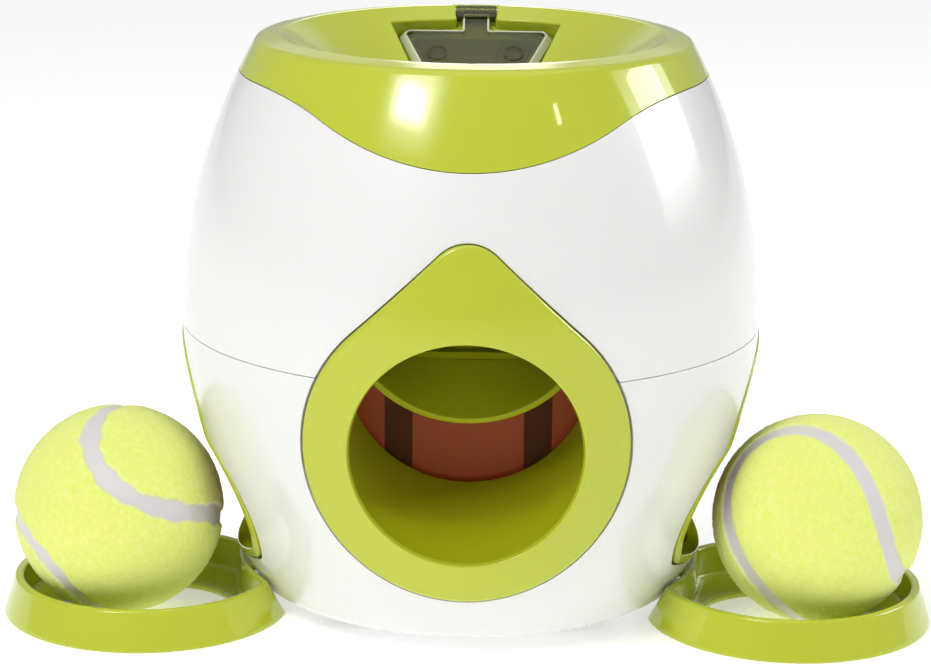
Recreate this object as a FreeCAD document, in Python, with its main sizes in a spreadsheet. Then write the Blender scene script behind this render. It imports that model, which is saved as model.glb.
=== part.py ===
import FreeCAD, Part
import math
import os
import re

import Sketcher

# Ball-drop treat machine: a barrel-shaped housing with a bowl on top, a round treat opening in front,
# a doorway low on each side and a dish for a ball at each doorway.
# Frame: millimetres, origin on the ground under the housing's axis, +Z up, the treat opening faces -Y.

DOC = FreeCAD.newDocument("ball_drop_machine")

SIZES = {
    # housing
    "r_wide": 90.0,         # largest radius, at the seam
    "z_seam": 88.5,         # height of the seam between the two shells
    "foot_high": 5.0,       # height of the lower shell's bottom edge
    "foot_r": 66.7,         # radius of the lower shell's bottom edge
    "foot_round": 5.0,      # rounding of that edge
    "crest_z": 178.0,       # height of the rim's crest, the height of the whole machine
    "lip_round": 10.4,      # rounding of the rim's outer side
    "wall": 2.4,            # wall of the shells and the bowl
    "seam_gap": 0.3,        # visible gap between mouldings
    "fit_gap": 0.3,         # clearance between pieces that slip into each other
    "tongue_high": 5.0,     # tongue of the lower shell above the seam
    "tongue_thick": 1.6,
    "ledge_wide": 8.7,      # width of the lower shell's bottom ledge
    "collar_deep": 7.7,     # the collar that carries the bowl starts this far below the wavy edge
    "collar_under": 14.0,   # top of the collar below the rim's crest
    "flange_in": 1.0,       # the collar's flange ends this far inside the crest
    # wavy edge between bowl and upper shell
    "skirt_deep": 28.3,     # depth of the bowl's skirt below the crest, front and back
    "skirt_side": 11.1,     # its depth along the level stretch at the sides
    "wave_past": 6.0,       # a dip's half width, past the crest's radius
    "wave_part": 0.665,     # share of the dip's radii that the middle arc takes
    # bowl
    "rim_wide": 26.0,       # width of the bowl from the throat to the crest
    "bowl_slope": 37.0,     # degrees
    "crest_round": 6.0,     # rounding of the rim's inner side
    "throat_wall": 1.8,
    "throat_flare": 3.0,    # widening at the throat's upper end
    "throat_long": 7.2,
    # balls
    "ball_r": 32.5,
    "ball_play": 1.5,       # radial play of a ball in the throat and the doorways
    "seat_poke": 2.38,      # a ball at rest in its tray reaches this far into the doorway
    "seat_back": 2.7,       # the ball rests this far in front of the tray's middle
    # front trim
    "proud": 1.2,           # the front trim stands this far out of the housing
    "drop_wide": 13.9,      # width of the trim round the opening
    "drop_over": 0.7,       # the drop's middle above the opening's middle
    "drop_side": 43.5,      # degrees, slope of the straight sides
    "drop_tip": 12.0,       # rounding of the tip
    "trim_lap": 3.0,        # flange of a trim behind the shell
    "hole_r": 34.7,         # round treat opening
    "hole_z": 67.3,
    # side doorways
    "sill_z": 17.0,         # lowest point of the sill
    "sill_bow": 6.0,        # rise of the sill towards its corners
    "door_flare": 5.5,      # half width at the sill, past the ball's radius
    "door_corner": 4.0,     # rounding of the sill's corners
    "door_bulge": 9.6,      # the sides bow out this far between the sill and the head
    "door_turn": 12.0,      # the head's arc starts this far above its middle, in degrees
    "door_shoulder": 7.0,   # rounding between a side and the head
    "door_proud": 0.4,      # the frame stands this far out of the housing
    "door_trim": 2.4,       # width of the doorway's frame
    # treat cup
    "cup_clear": 3.4,       # gap between the cup's back edge and the ball guide
    "cup_flare": 2.8,       # widening from front to back
    "cup_high": 1.9,        # middle of its front end above the opening's middle
    "cup_climb": 14.3,      # rise of its middle from the front end to the back edge
    "cup_rise": 12.7,       # top of its sides above the opening's middle
    "cup_front": 2.0,       # distance of its front end from the housing's widest radius
    "cup_gap": 0.3,         # the cup is wider than the opening by this much all round
    "cup_wall": 2.0,
    # treat spout
    "lip_reach": 18.0,      # the spout's lip stands this far in front of the cup's back edge
    "lip_over": 4.1,        # height of the lip above the opening's middle
    "lip_flat": 2.3,        # the lip's arc is larger than the opening by this much
    "spout_clear": 6.0,     # gap between the spout's back edge and the ball guide
    "spout_under": 13.4,    # the spout's back edge below the slide's upper face
    "spout_back_bow": 2.2,  # rise of its back edge's sides
    "spout_in": 7.7,        # each side of the spout inside the opening's edge
    "spout_wall": 2.0,
    # treat slide
    "slide_tilt": 14.0,     # degrees
    "slide_over": 16.0,     # its upper face above a ball on the sill
    "slide_past": 13.4,     # its rim behind the wheel's axis
    "slide_thick": 2.0,
    "slide_rim": 8.0,
    # drop tube
    "tube_lap": 4.5,        # length of the throat inside the tube
    "tube_wall": 2.0,
    "tube_seat": 1.0,       # ledge of the slide that the tube stands on
    # treat wheel
    "paddle_bite": 5.9,     # the paddles reach this far into the ball's way
    "wheel_under": 46.0,    # its axis below the rim's crest
    "paddle_r": 20.5,
    "paddle_half": 6.0,
    "paddle_thick": 2.4,
    "drum_r": 8.2,
    "drum_half": 17.5,
    "pocket_r": 3.0,
    "shaft_r": 2.0,
    "shaft_half": 24.0,
    "run_gap": 0.05,        # radial clearance of a shaft or pin in its hole
    "bush_r": 3.6,
    "cheek_thick": 2.4,
    # hopper
    "hopper_half": 26.0,
    "hopper_fore": 6.4,     # front wall in front of the wheel's axis
    "hopper_aft": 12.4,     # back wall behind the wheel's axis
    "drum_gap": 0.8,        # gap between the drum and the hopper's floor
    "hopper_wall": 1.8,
    # lid
    "hinge_in": 2.0,        # hinge axis inside the rim's crest
    "hinge_drop": 2.0,      # hinge axis below the crest
    "lid_thick": 2.0,
    "lid_near": 8.8,        # distance of the lid's wide edge from the hinge, down the slope
    "lid_far": 25.8,        # distance of its narrow edge
    "lid_wide": 23.9,       # half width at the wide edge
    "lid_narrow": 16.6,     # half width at the narrow edge
    "lid_round": 2.2,       # rounding of the lid's corners
    "seat_side": 2.8,       # width of the lid's seat beside the lid
    "seat_aft": 4.5,        # its width between the lid and the rim
    "seat_round": 3.2,
    "knob_x": 12.2,         # knobs on the lid for a fingertip
    "knob_up": 6.8,
    "knob_r": 3.0,
    "neck_half": 4.0,
    "head_half": 6.0,
    "head_r": 1.9,
    "lid_pin_r": 1.0,
    "lid_gap": 0.4,
    "frame_wide": 2.2,      # wall of the frame under the lid
    "lid_ledge": 1.8,       # ledge that the lid rests on
    # runway, guide and flap
    "run_slope": 7.0,       # degrees
    "run_reach": 72.0,      # distance from the axis at which the trough is level with the sill
    "run_thick": 2.4,
    "run_bow": 4.8,         # rise of the trough towards its sides
    "guide_play": 0.4,      # play on each side between the guide and the throat's width
    "guide_wall": 2.2,
    "guide_low": 10.4,
    "guide_rise": 46.0,     # top of the guide's outer stretches above the sill
    "guide_mid": 40.0,      # half length of its tall middle
    "slot_near": 17.0,      # slots beside the middle panel
    "slot_wide": 8.5,
    "slot_low": 40.0,
    "slot_under": 4.8,      # bar above the slots
    "pin_over": 16.0,       # the flap's pin above the sill
    "pin_r": 1.5,
    "flap_hub": 3.2,
    "flap_high": 24.0,
    "flap_thick": 2.0,
    "flap_gap": 0.4,        # gap between the flap's ends and the guide
    "flap_lean": 18.0,      # degrees
    "stop_r": 1.5,
    "stop_reach": 14.0,
    # trays
    "tray_y": -26.0,
    "tray_in": 8.0,         # middle of the tray nearer the housing than the ball
    "tray_room": 5.5,       # inner radius of the tray's wall, past the ball's radius
    "tray_half_rim": 1.5,   # half thickness of the wall at its crest
    "tray_taper": 4.7,      # the wall's outer face leans out this far down to the ground
    "tray_high": 12.2,
    "tray_floor": 2.0,
    "tray_gap": 1.0,        # gap between a tray and the housing
    "tray_lip": 2.0,
    "well_in": 8.0,         # the well's radius is smaller than the ball's by this much
    "well_off": 5.0,        # the well's middle from the tray's, towards the housing and the front
    "tab_half": 8.0,
    "tab_y": -13.0,
    "tab_low": 10.2,
    "tab_thick": 1.8,
    "tab_past": 3.2,        # the tab's end inside the lower shell's bottom radius
    # base, feet and fasteners
    "base_gap": 0.2,
    "base_thick": 2.2,
    "foot_pad_r": 7.0,
    "foot_at": 32.0,
    "boss_r": 4.0,
    "boss_in": 8.8,         # middle of a boss inside the housing's widest radius
    "web_r": 2.4,           # web between a boss and the wall
    "web_in": 4.3,
    "screw_r": 1.4,
    "head_wide": 2.8,
    "head_deep": 1.8,
    "base_screw_in": 0.7,   # middle of a base screw outside the ledge's inner radius
    "bowl_screw_out": 3.1,  # middle of a bowl screw outside the crest's radius
    "ear_out": 4.5,         # middle of a hopper screw beside the hopper
    "ear_fore": 1.6,        # middle of a hopper screw in front of the wheel's axis
}

SHEET = DOC.addObject("Spreadsheet::Sheet", "dims")
for row, (alias, value) in enumerate(SIZES.items(), 1):
    SHEET.set("A%d" % row, str(value))
    SHEET.setAlias("A%d" % row, alias)
DOC.recompute()


# ---------------------------------------------------------------- formulas
# Sizes and places that follow from others.
DERIVED = {}


def linked(text):
    """A formula with every derived size written out and every size as a reference to the sheet."""
    def reference(word):
        if word[0] in DERIVED:
            return "(" + linked(DERIVED[word[0]]) + ")"
        return "dims." + word[0] if word[0] in SIZES else word[0]
    return re.sub(r"[a-z]\w+", reference, str(text))


def number(text):
    """The present value of a formula."""
    value = SHEET.evalExpression(linked(text))
    return float(getattr(value, "Value", value))


UPPER_ARC = (
    "(((r_wide - crest_r)^2 - lip_round^2 + (crest_z - z_seam - lip_round)^2)"
    " / (2 * (r_wide - crest_r - lip_round)))"
)
LOWER_ARC = "(((r_wide - foot_r)^2 + (z_seam - foot_high)^2) / (2 * (r_wide - foot_r)))"


def radius_above(z, inset="0"):
    """Housing radius at a height over the seam, less an inset square to the surface."""
    return f"(r_wide - {UPPER_ARC} + sqrt(({UPPER_ARC} - ({inset}))^2 - (({z}) - z_seam)^2))"


def radius_below(z, inset="0"):
    """Housing radius at a height under the seam, less an inset square to the surface."""
    return f"(r_wide - {LOWER_ARC} + sqrt(({LOWER_ARC} - ({inset}))^2 - (({z}) - z_seam)^2))"


def bow(half, rise):
    """Radius of an arc from its half chord and rise."""
    return f"((({half})^2 + ({rise})^2) / (2 * ({rise})))"


def sine(angle):
    return f"sin(({angle}) * 1 deg)"


def cosine(angle):
    return f"cos(({angle}) * 1 deg)"


def tangent(angle):
    return f"tan(({angle}) * 1 deg)"


CONE_R = f"(crest_r - crest_round * {sine('bowl_slope')})"
CONE_Z = f"(crest_z - crest_round + crest_round * {cosine('bowl_slope')})"


def cone_z(radius, below="0"):
    """Height of the bowl's sloping face at a radius, less a distance square to the face."""
    drop = f"({below}) / {cosine('bowl_slope')}"
    return f"({CONE_Z} - ({CONE_R} - ({radius})) * {tangent('bowl_slope')} - {drop})"


DERIVED.update({
    # ball's way
    "throat_r": "ball_r + ball_play",
    "flare_r": "throat_r + throat_flare",
    "crest_r": "throat_r + rim_wide",
    "throat_low": f"{cone_z('flare_r')} - throat_flare - 1 - throat_long",
    "tube_high": "throat_low + tube_lap",
    "guide_half": "throat_r + guide_play",
    "guide_out": "guide_half + guide_wall",
    "guide_step": "sill_z + guide_rise",
    "pin_z": "sill_z + pin_over",
    "flap_half": "guide_half - flap_gap",
    # housing
    "ledge_r": "foot_r - ledge_wide",
    "wave_low": "crest_z - skirt_deep",
    "wave_high": "crest_z - skirt_side",
    "wave_run": "crest_r + wave_past",
    "collar_low": "wave_low - collar_deep",
    "collar_top": "crest_z - collar_under",
    "flange_r": "crest_r - flange_in",
    "boss_at": "(r_wide - boss_in) / sqrt(2)",
    "web_at": "(r_wide - web_in) / sqrt(2)",
    "base_screw_at": "(ledge_r + base_screw_in) / sqrt(2)",
    "bowl_screw_at": "(crest_r + bowl_screw_out) / sqrt(2)",
    # front and side openings
    "drop_r": "hole_r + drop_wide",
    "drop_z": "hole_z + drop_over",
    "door_half": "ball_r + door_flare",
    # treats' way
    "wheel_y": "throat_r + paddle_r - paddle_bite",
    "wheel_z": "crest_z - wheel_under",
    "hopper_front": "wheel_y - hopper_fore",
    "hopper_back": "wheel_y + hopper_aft",
    "hopper_low": "wheel_z + drum_r + drum_gap",
    "ear_x": "hopper_half + ear_out",
    "ear_y": "wheel_y - ear_fore",
    "slide_z": "sill_z + 2 * ball_r + slide_over",
    "slide_r": "wheel_y + slide_past",
    "spout_back_y": "0 - guide_out - spout_clear",
    "spout_back_z": "slide_z - spout_under",
    "spout_half": "hole_r - spout_in",
    "cup_back_y": "0 - guide_out - cup_clear",
    "cup_front_y": "cup_front - r_wide",
    "cup_top": "hole_z + cup_rise",
    "lip_y": "cup_back_y - lip_reach",
    "lip_z": "hole_z + lip_over",
    "lip_r": "hole_r + lip_flat",
    # lid
    "hinge_y": "crest_r - hinge_in",
    "hinge_z": "crest_z - hinge_drop",
    # trays and the balls in them
    "seat_y": "tray_y - seat_back",
    "seat_x": f"sqrt({radius_below('ball_r', 'seat_poke - ball_r')}^2 - seat_y^2)",
    "tray_x": "seat_x - tray_in",
    "tray_inner": "ball_r + tray_room",
    "tray_crest": "tray_inner + tray_half_rim",
    "tray_r": "tray_crest + tray_taper",
    "well_r": "ball_r - well_in",
    "well_x": "tray_x - well_off",
    "well_y": "tray_y - well_off",
    "tab_in": "foot_r - tab_past",
})


# ---------------------------------------------------------------- sketches and solids
def place(feature, x="0", y="0", z="0"):
    """Moves a feature to a place given by formulas."""
    for letter, text in zip("xyz", (x, y, z)):
        feature.setExpression("Placement.Base." + letter, linked(text))
    return feature


def turn(feature, axis, angle):
    """Turns a feature about an axis through its own origin by an angle given as a formula, in degrees."""
    feature.Placement = FreeCAD.Placement(feature.Placement.Base, FreeCAD.Rotation(axis, number(angle)))
    feature.setExpression("Placement.Rotation.Angle", linked(f"({angle}) * 1 deg"))
    return feature


def draw_loop(sketch, points):
    """Draws a closed loop. A point is (x, y) or (x, y, r): with r the edge to the next point is an arc
    of that radius, which turns left, or turns right where the formula starts with a minus sign."""
    corners = [FreeCAD.Vector(number(p[0]), number(p[1]), 0) for p in points]
    first = sketch.GeometryCount
    ends = []
    geometry = []
    for index, point in enumerate(points):
        start = corners[index]
        finish = corners[(index + 1) % len(points)]
        if len(point) == 2:
            geometry.append(Part.LineSegment(start, finish))
            ends.append((1, 2))
            continue
        left = not str(point[2]).startswith("-")
        radius = abs(number(point[2]))
        chord = finish - start
        side = FreeCAD.Vector(-chord.y, chord.x, 0).normalize()
        if not left:
            side = side * -1
        reach = math.sqrt(max(radius ** 2 - (chord.Length / 2) ** 2, 0))
        middle = (start + finish) / 2 + side * (reach - radius)
        geometry.append(Part.Arc(start, middle, finish))
        ends.append((1, 2) if left else (2, 1))
    sketch.addGeometry(geometry, False)
    rules = []
    for index in range(len(points)):
        after = (index + 1) % len(points)
        rules.append(Sketcher.Constraint("Coincident", first + index, ends[index][1], first + after,
                                         ends[after][0]))
    formulas = []
    for index, point in enumerate(points):
        corner = corners[index]
        edge = first + index
        rules.append(Sketcher.Constraint("DistanceX", -1, 1, edge, ends[index][0], corner.x))
        formulas.append((len(rules) - 1, point[0]))
        rules.append(Sketcher.Constraint("DistanceY", -1, 1, edge, ends[index][0], corner.y))
        formulas.append((len(rules) - 1, point[1]))
        if len(point) == 3:
            radius = str(point[2]).lstrip("-")
            rules.append(Sketcher.Constraint("Radius", edge, number(radius)))
            formulas.append((len(rules) - 1, radius))
    base = sketch.ConstraintCount
    sketch.addConstraint(rules)
    for index, text in formulas:
        sketch.setExpression(f"Constraints[{base + index}]", linked(text))


def draw_circle(sketch, x, y, radius):
    """Draws a circle whose centre and radius are formulas."""
    edge = sketch.GeometryCount
    centre = FreeCAD.Vector(number(x), number(y), 0)
    sketch.addGeometry(Part.Circle(centre, FreeCAD.Vector(0, 0, 1), number(radius)), False)
    base = sketch.ConstraintCount
    sketch.addConstraint([
        Sketcher.Constraint("DistanceX", -1, 1, edge, 3, centre.x),
        Sketcher.Constraint("DistanceY", -1, 1, edge, 3, centre.y),
        Sketcher.Constraint("Radius", edge, number(radius)),
    ])
    for index, text in enumerate((x, y, radius)):
        sketch.setExpression(f"Constraints[{base + index}]", linked(text))


def new_sketch(body, plane, name, loops, offset="0"):
    """A sketch on one of the body's own planes, moved along the plane's normal by an offset."""
    sketch = body.newObject("Sketcher::SketchObject", name + "_sketch")
    datum = next(item for item in body.Origin.OriginFeatures if item.Role == plane)
    sketch.AttachmentSupport = [(datum, "")]
    sketch.MapMode = "FlatFace"
    sketch.setExpression("AttachmentOffset.Base.z", linked(offset))
    for loop in loops:
        if loop[0] == "circle":
            draw_circle(sketch, *loop[1:])
        else:
            draw_loop(sketch, loop)
    return sketch


def spun(name, loop):
    """A body of revolution about Z from a loop of (radius, height) points."""
    body = DOC.addObject("PartDesign::Body", name)
    sketch = new_sketch(body, "XZ_Plane", name, [loop])
    feature = body.newObject("PartDesign::Revolution", name + "_turn")
    feature.Profile = sketch
    feature.ReferenceAxis = (sketch, ["V_Axis"])
    feature.Angle = 360
    return body


def slab(name, plane, loops, low, high):
    """A straight body from loops in a plane, between two distances along the plane's normal.
    The normal is +Z of XY_Plane, +X of YZ_Plane and -Y of XZ_Plane."""
    body = DOC.addObject("PartDesign::Body", name)
    sketch = new_sketch(body, plane, name, loops, low)
    feature = body.newObject("PartDesign::Pad", name + "_pad")
    feature.Profile = sketch
    feature.setExpression("Length", linked(f"({high}) - ({low})"))
    return body


def corners_rounded(body, radius, chosen=lambda spot: True):
    """Rounds those long edges of a straight body whose middle is chosen."""
    last = body.Tip
    DOC.recompute()
    drawing = next(feature for feature in body.Group if feature.TypeId == "Sketcher::SketchObject")
    normal = drawing.Placement.Rotation.multVec(FreeCAD.Vector(0, 0, 1))
    names = []
    for index, edge in enumerate(last.Shape.Edges, 1):
        straight = edge.Curve.TypeId == "Part::GeomLine"
        if straight and abs(edge.Curve.Direction.dot(normal)) > 0.999 and chosen(edge.CenterOfMass):
            names.append(f"Edge{index}")
    feature = body.newObject("PartDesign::Fillet", body.Name + "_round")
    feature.Base = (last, names)
    feature.setExpression("Radius", linked(radius))
    return body


def block(name, low, high):
    """A box between two corners given by formulas."""
    feature = DOC.addObject("Part::Box", name)
    for side, start, end in zip(("Length", "Width", "Height"), low, high):
        feature.setExpression(side, linked(f"({end}) - ({start})"))
    return place(feature, *low)


TO_X = FreeCAD.Rotation(FreeCAD.Vector(0, 1, 0), 90)
TO_Y = FreeCAD.Rotation(FreeCAD.Vector(1, 0, 0), -90)
TO_Z = FreeCAD.Rotation()


def rod(name, centre, radius, length, way=TO_Z):
    """A cylinder that starts at a point and runs along +Z, +X or +Y."""
    feature = DOC.addObject("Part::Cylinder", name)
    feature.setExpression("Radius", linked(radius))
    feature.setExpression("Height", linked(length))
    feature.Placement.Rotation = way
    return place(feature, *centre)


def fused(name, *pieces):
    feature = DOC.addObject("Part::MultiFuse", name)
    feature.Shapes = list(pieces)
    return feature


def shared(name, *pieces):
    feature = DOC.addObject("Part::MultiCommon", name)
    feature.Shapes = list(pieces)
    return feature


def cut(name, base, *tools):
    """The base less all the tools."""
    feature = DOC.addObject("Part::Cut", name)
    feature.Base = base
    feature.Tool = tools[0] if len(tools) == 1 else fused(name + "_tools", *tools)
    return feature


def mirrored(name, source):
    """The source mirrored in the plane X = 0."""
    feature = DOC.addObject("Part::Mirroring", name)
    feature.Source = source
    feature.Normal = FreeCAD.Vector(1, 0, 0)
    return feature


NODES = {}


def node(label, feature):
    """Names a finished sub-part."""
    feature.Label = label
    NODES[label] = feature
    return feature


QUARTERS = ((1, 1), (-1, 1), (-1, -1), (1, -1))


def at_quarters(name, make, reach):
    """Four copies of a piece at (+-reach, +-reach)."""
    return [make(f"{name}_{index}", f"{x} * {reach}", f"{y} * {reach}")
            for index, (x, y) in enumerate(QUARTERS)]


# ---------------------------------------------------------------- shapes that several pieces share
def shell_ring(name, outer, inner, low, high):
    """The layer of the housing between two insets and two heights, one below and one above the seam."""
    return spun(name, [
        (radius_below(low, outer), low, f"{LOWER_ARC} - ({outer})"),
        (f"r_wide - ({outer})", "z_seam", f"{UPPER_ARC} - ({outer})"),
        (radius_above(high, outer), high),
        (radius_above(high, inner), high, f"-({UPPER_ARC} - ({inner}))"),
        (f"r_wide - ({inner})", "z_seam", f"-({LOWER_ARC} - ({inner}))"),
        (radius_below(low, inner), low),
    ])


def inner_space(name, inset, low, high):
    """Everything inside the housing between two heights, less an inset."""
    return spun(name, [
        ("0", low),
        (radius_below(low, inset), low, f"{LOWER_ARC} - ({inset})"),
        (f"r_wide - ({inset})", "z_seam", f"{UPPER_ARC} - ({inset})"),
        (radius_above(high, inset), high),
        ("0", high),
    ])


def drop_block(name, grow):
    """The front trim's drop shape, grown by an amount and run through the front of the housing."""
    big = f"(drop_r + ({grow}))"
    tip = f"(drop_tip + ({grow}))"
    tip_z = f"(drop_z + (drop_r - drop_tip) / {cosine('drop_side')})"
    across = sine("drop_side")
    upward = cosine("drop_side")
    return slab(name, "XZ_Plane", [[
        ("0", f"drop_z - {big}", big),
        (big, "drop_z", big),
        (f"{big} * {across}", f"drop_z + {big} * {upward}"),
        (f"{tip} * {across}", f"{tip_z} + {tip} * {upward}", tip),
        ("0", f"{tip_z} + {tip}", tip),
        (f"-{tip} * {across}", f"{tip_z} + {tip} * {upward}"),
        (f"-{big} * {across}", f"drop_z + {big} * {upward}", big),
        (f"-{big}", "drop_z", big),
    ]], "20", "r_wide + 20")


def door_loop(grow):
    """A doorway's outline in the YZ plane: bowed sill, bulging sides, round head."""
    half = f"(door_half + ({grow}))"
    head = f"(ball_r + ball_play + ({grow}))"
    head_z = "(sill_z + ball_r)"
    low = f"(sill_z - ({grow}))"
    corner = f"({low} + sill_bow)"
    arc = bow(half, "sill_bow")
    across = f"({head} * {cosine('door_turn')})"
    upward = f"({head_z} + {head} * {sine('door_turn')})"
    side = bow(f"(sqrt(({half} - {across})^2 + ({upward} - {corner})^2) / 2)", "door_bulge")
    return [
        (f"-{half}", corner, arc),
        ("0", low, arc),
        (half, corner, side),
        (across, upward, head),
        ("0", f"{head_z} + {head}", head),
        (f"-{across}", upward, side),
    ]


def door_block(name, grow, low="40", high="r_wide + 20"):
    """The right doorway's outline, grown by an amount and run through the side of the housing."""
    body = slab(name, "YZ_Plane", [door_loop(grow)], low, high)
    sill_top = number("sill_z + 2 * sill_bow")
    shoulder = number("sill_z + ball_r")
    head_top = number("sill_z + 2 * ball_r - ball_play")
    body = corners_rounded(body, f"door_corner + ({grow})", lambda spot: spot.z < sill_top)
    return corners_rounded(body, f"door_shoulder - ({grow})", lambda spot: shoulder < spot.z < head_top)


def wave_block(name, drop):
    """Everything below the wavy edge, lowered by an amount. Two arcs a side, tangent to each other."""
    rise = "(wave_high - wave_low)"
    angle = f"(2 * atan({rise} / wave_run))"
    total = f"(wave_run / sin({angle}))"
    middle = f"(wave_part * {total})"
    outer = f"((1 - wave_part) * {total})"
    knee_x = f"({middle} * sin({angle}))"
    knee_z = f"(wave_low - ({drop}) + {middle} * (1 - cos({angle})))"
    top = f"(wave_high - ({drop}))"
    return slab(name, "XZ_Plane", [[
        ("-r_wide", "collar_low - 4"),
        ("r_wide", "collar_low - 4"),
        ("r_wide", top),
        ("wave_run", top, outer),
        (knee_x, knee_z, f"-{middle}"),
        ("0", f"wave_low - ({drop})", f"-{middle}"),
        (f"-{knee_x}", knee_z, outer),
        ("-wave_run", top),
        ("-r_wide", top),
    ]], "-r_wide", "r_wide")


LIP_ARC = f"{UPPER_ARC} / ({UPPER_ARC} - lip_round)"
LIP_X = f"(r_wide - {UPPER_ARC} + (crest_r - r_wide + {UPPER_ARC}) * {LIP_ARC})"
LIP_Z = f"(z_seam + (crest_z - lip_round - z_seam) * {LIP_ARC})"

# ---------------------------------------------------------------- lower shell
lower_skin = spun("lower_skin", [
    (f"{radius_below('foot_high + foot_round / 2')} - 0.87 * foot_round", "foot_high", "foot_round"),
    (radius_below("foot_high + foot_round / 2"), "foot_high + foot_round / 2", LOWER_ARC),
    (radius_below("z_seam - seam_gap / 2"), "z_seam - seam_gap / 2"),
    (radius_below("z_seam - seam_gap / 2", "wall"), "z_seam - seam_gap / 2", f"-({LOWER_ARC} - wall)"),
    (radius_below("foot_high + 2 * wall", "wall"), "foot_high + 2 * wall"),
    ("ledge_r", "foot_high + 2 * wall"),
    ("ledge_r", "foot_high + wall"),
    (radius_below("foot_high + wall", "wall"), "foot_high + wall"),
    (f"{radius_below('foot_high + foot_round / 2')} - 0.87 * foot_round - 0.8", "foot_high"),
])
tongue_r = "(r_wide - wall - fit_gap)"
tongue = spun("tongue", [
    ("r_wide - wall / 2", "z_seam - 6"),
    ("r_wide - wall / 2", "z_seam - 1"),
    (tongue_r, "z_seam - 1"),
    (tongue_r, "z_seam + tongue_high"),
    (f"{tongue_r} - tongue_thick", "z_seam + tongue_high"),
    (f"{tongue_r} - tongue_thick", "z_seam - 6"),
])


def boss(low, length, radius="boss_r"):
    """A maker of upright cylinders that start at a height."""
    return lambda name, x, y: rod(name, (x, y, low), radius, length)


lower_bosses = at_quarters("lower_boss", boss("z_seam - 14", "14 - seam_gap / 2"), "boss_at")
lower_pilots = at_quarters("lower_pilot", boss("z_seam - 16", "18", "screw_r + 0.2"), "boss_at")
lower_webs = at_quarters("lower_web", boss("z_seam - 14", "14 - seam_gap / 2", "web_r"), "web_at")
base_bosses = at_quarters("base_boss", boss("foot_high + wall", "9"), "base_screw_at")
base_pilots = at_quarters("base_pilot", boss("foot_high", "9", "screw_r"), "base_screw_at")
lower_hull = inner_space("lower_hull", "wall / 2", "foot_high + wall", "z_seam + 20")
lower_post_set = fused("lower_post_set", *lower_bosses, *lower_webs, *base_bosses)
lower_posts = shared("lower_posts", lower_post_set, lower_hull)
front_cut = drop_block("front_cut", "seam_gap")
front_flange_cut = drop_block("front_flange_cut", "trim_lap + 1")
door_cut = door_block("door_cut", "door_trim + seam_gap")
door_flange_cut = door_block("door_flange_cut", "door_trim + trim_lap - 1")
door_flange_cut_left = mirrored("door_flange_cut_left", door_flange_cut)
door_cut_left = mirrored("door_cut_left", door_cut)
tongue_open = cut("tongue_open", tongue, front_flange_cut, door_flange_cut, door_flange_cut_left)
tab_slot = block("tab_slot", ("tab_in - 4", "tab_y - tab_half - fit_gap", "tab_low - fit_gap"),
                 ("r_wide", "tab_y + tab_half + fit_gap", "tab_low + tab_thick + fit_gap"))
tab_slot_left = mirrored("tab_slot_left", tab_slot)
lower_solid = fused("lower_solid", lower_skin, tongue_open, lower_posts)
node("lower_housing", cut("lower_shell", lower_solid, front_cut, door_cut, door_cut_left, tab_slot,
                          tab_slot_left, *lower_pilots, *base_pilots))

# ---------------------------------------------------------------- upper shell
upper_skin = spun("upper_skin", [
    (radius_above("z_seam + seam_gap / 2"), "z_seam + seam_gap / 2", UPPER_ARC),
    (radius_above("collar_top"), "collar_top"),
    ("flange_r", "collar_top"),
    ("flange_r", "collar_top - wall"),
    (radius_above("collar_top - wall", "2 * wall"), "collar_top - wall", f"-({UPPER_ARC} - 2 * wall)"),
    (radius_above("collar_low", "2 * wall"), "collar_low"),
    (radius_above("collar_low", "wall"), "collar_low", f"-({UPPER_ARC} - wall)"),
    (radius_above("z_seam + seam_gap / 2", "wall"), "z_seam + seam_gap / 2"),
])
skirt_room = shell_ring("skirt_room", "-1", "wall + fit_gap", "z_seam - 10", "collar_top + 4")
above_wave = cut("above_wave", skirt_room, wave_block("wave_room", "seam_gap"),
                 block("not_above", ("-1.2 * r_wide", "-1.2 * r_wide", "0"),
                       ("1.2 * r_wide", "1.2 * r_wide", "collar_low")))
upper_bosses = at_quarters("upper_boss", boss("z_seam + seam_gap / 2", "14"), "boss_at")
upper_pilots = at_quarters("upper_pilot", boss("z_seam", "11", "screw_r"), "boss_at")
upper_webs = at_quarters("upper_web", boss("z_seam + tongue_high + seam_gap", "14 - tongue_high", "web_r"),
                         "web_at")
upper_hull = inner_space("upper_hull", "wall / 2", "z_seam - 20", "collar_top")
upper_posts = shared("upper_posts", fused("upper_post_set", *upper_bosses, *upper_webs), upper_hull)
flange_holes = at_quarters("flange_hole", boss("collar_top - 5", "10", "screw_r + 0.2"), "bowl_screw_at")
hopper_room = block("hopper_room", ("-hopper_half - 10", "hopper_front - 4", "collar_top - 6"),
                    ("hopper_half + 10", "hopper_back + 0.5", "collar_top + 6"))
upper_solid = fused("upper_solid", upper_skin, upper_posts)
node("upper_housing", cut("upper_shell", upper_solid, above_wave, front_cut, door_cut, door_cut_left,
                          hopper_room, *upper_pilots, *flange_holes))

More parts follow.
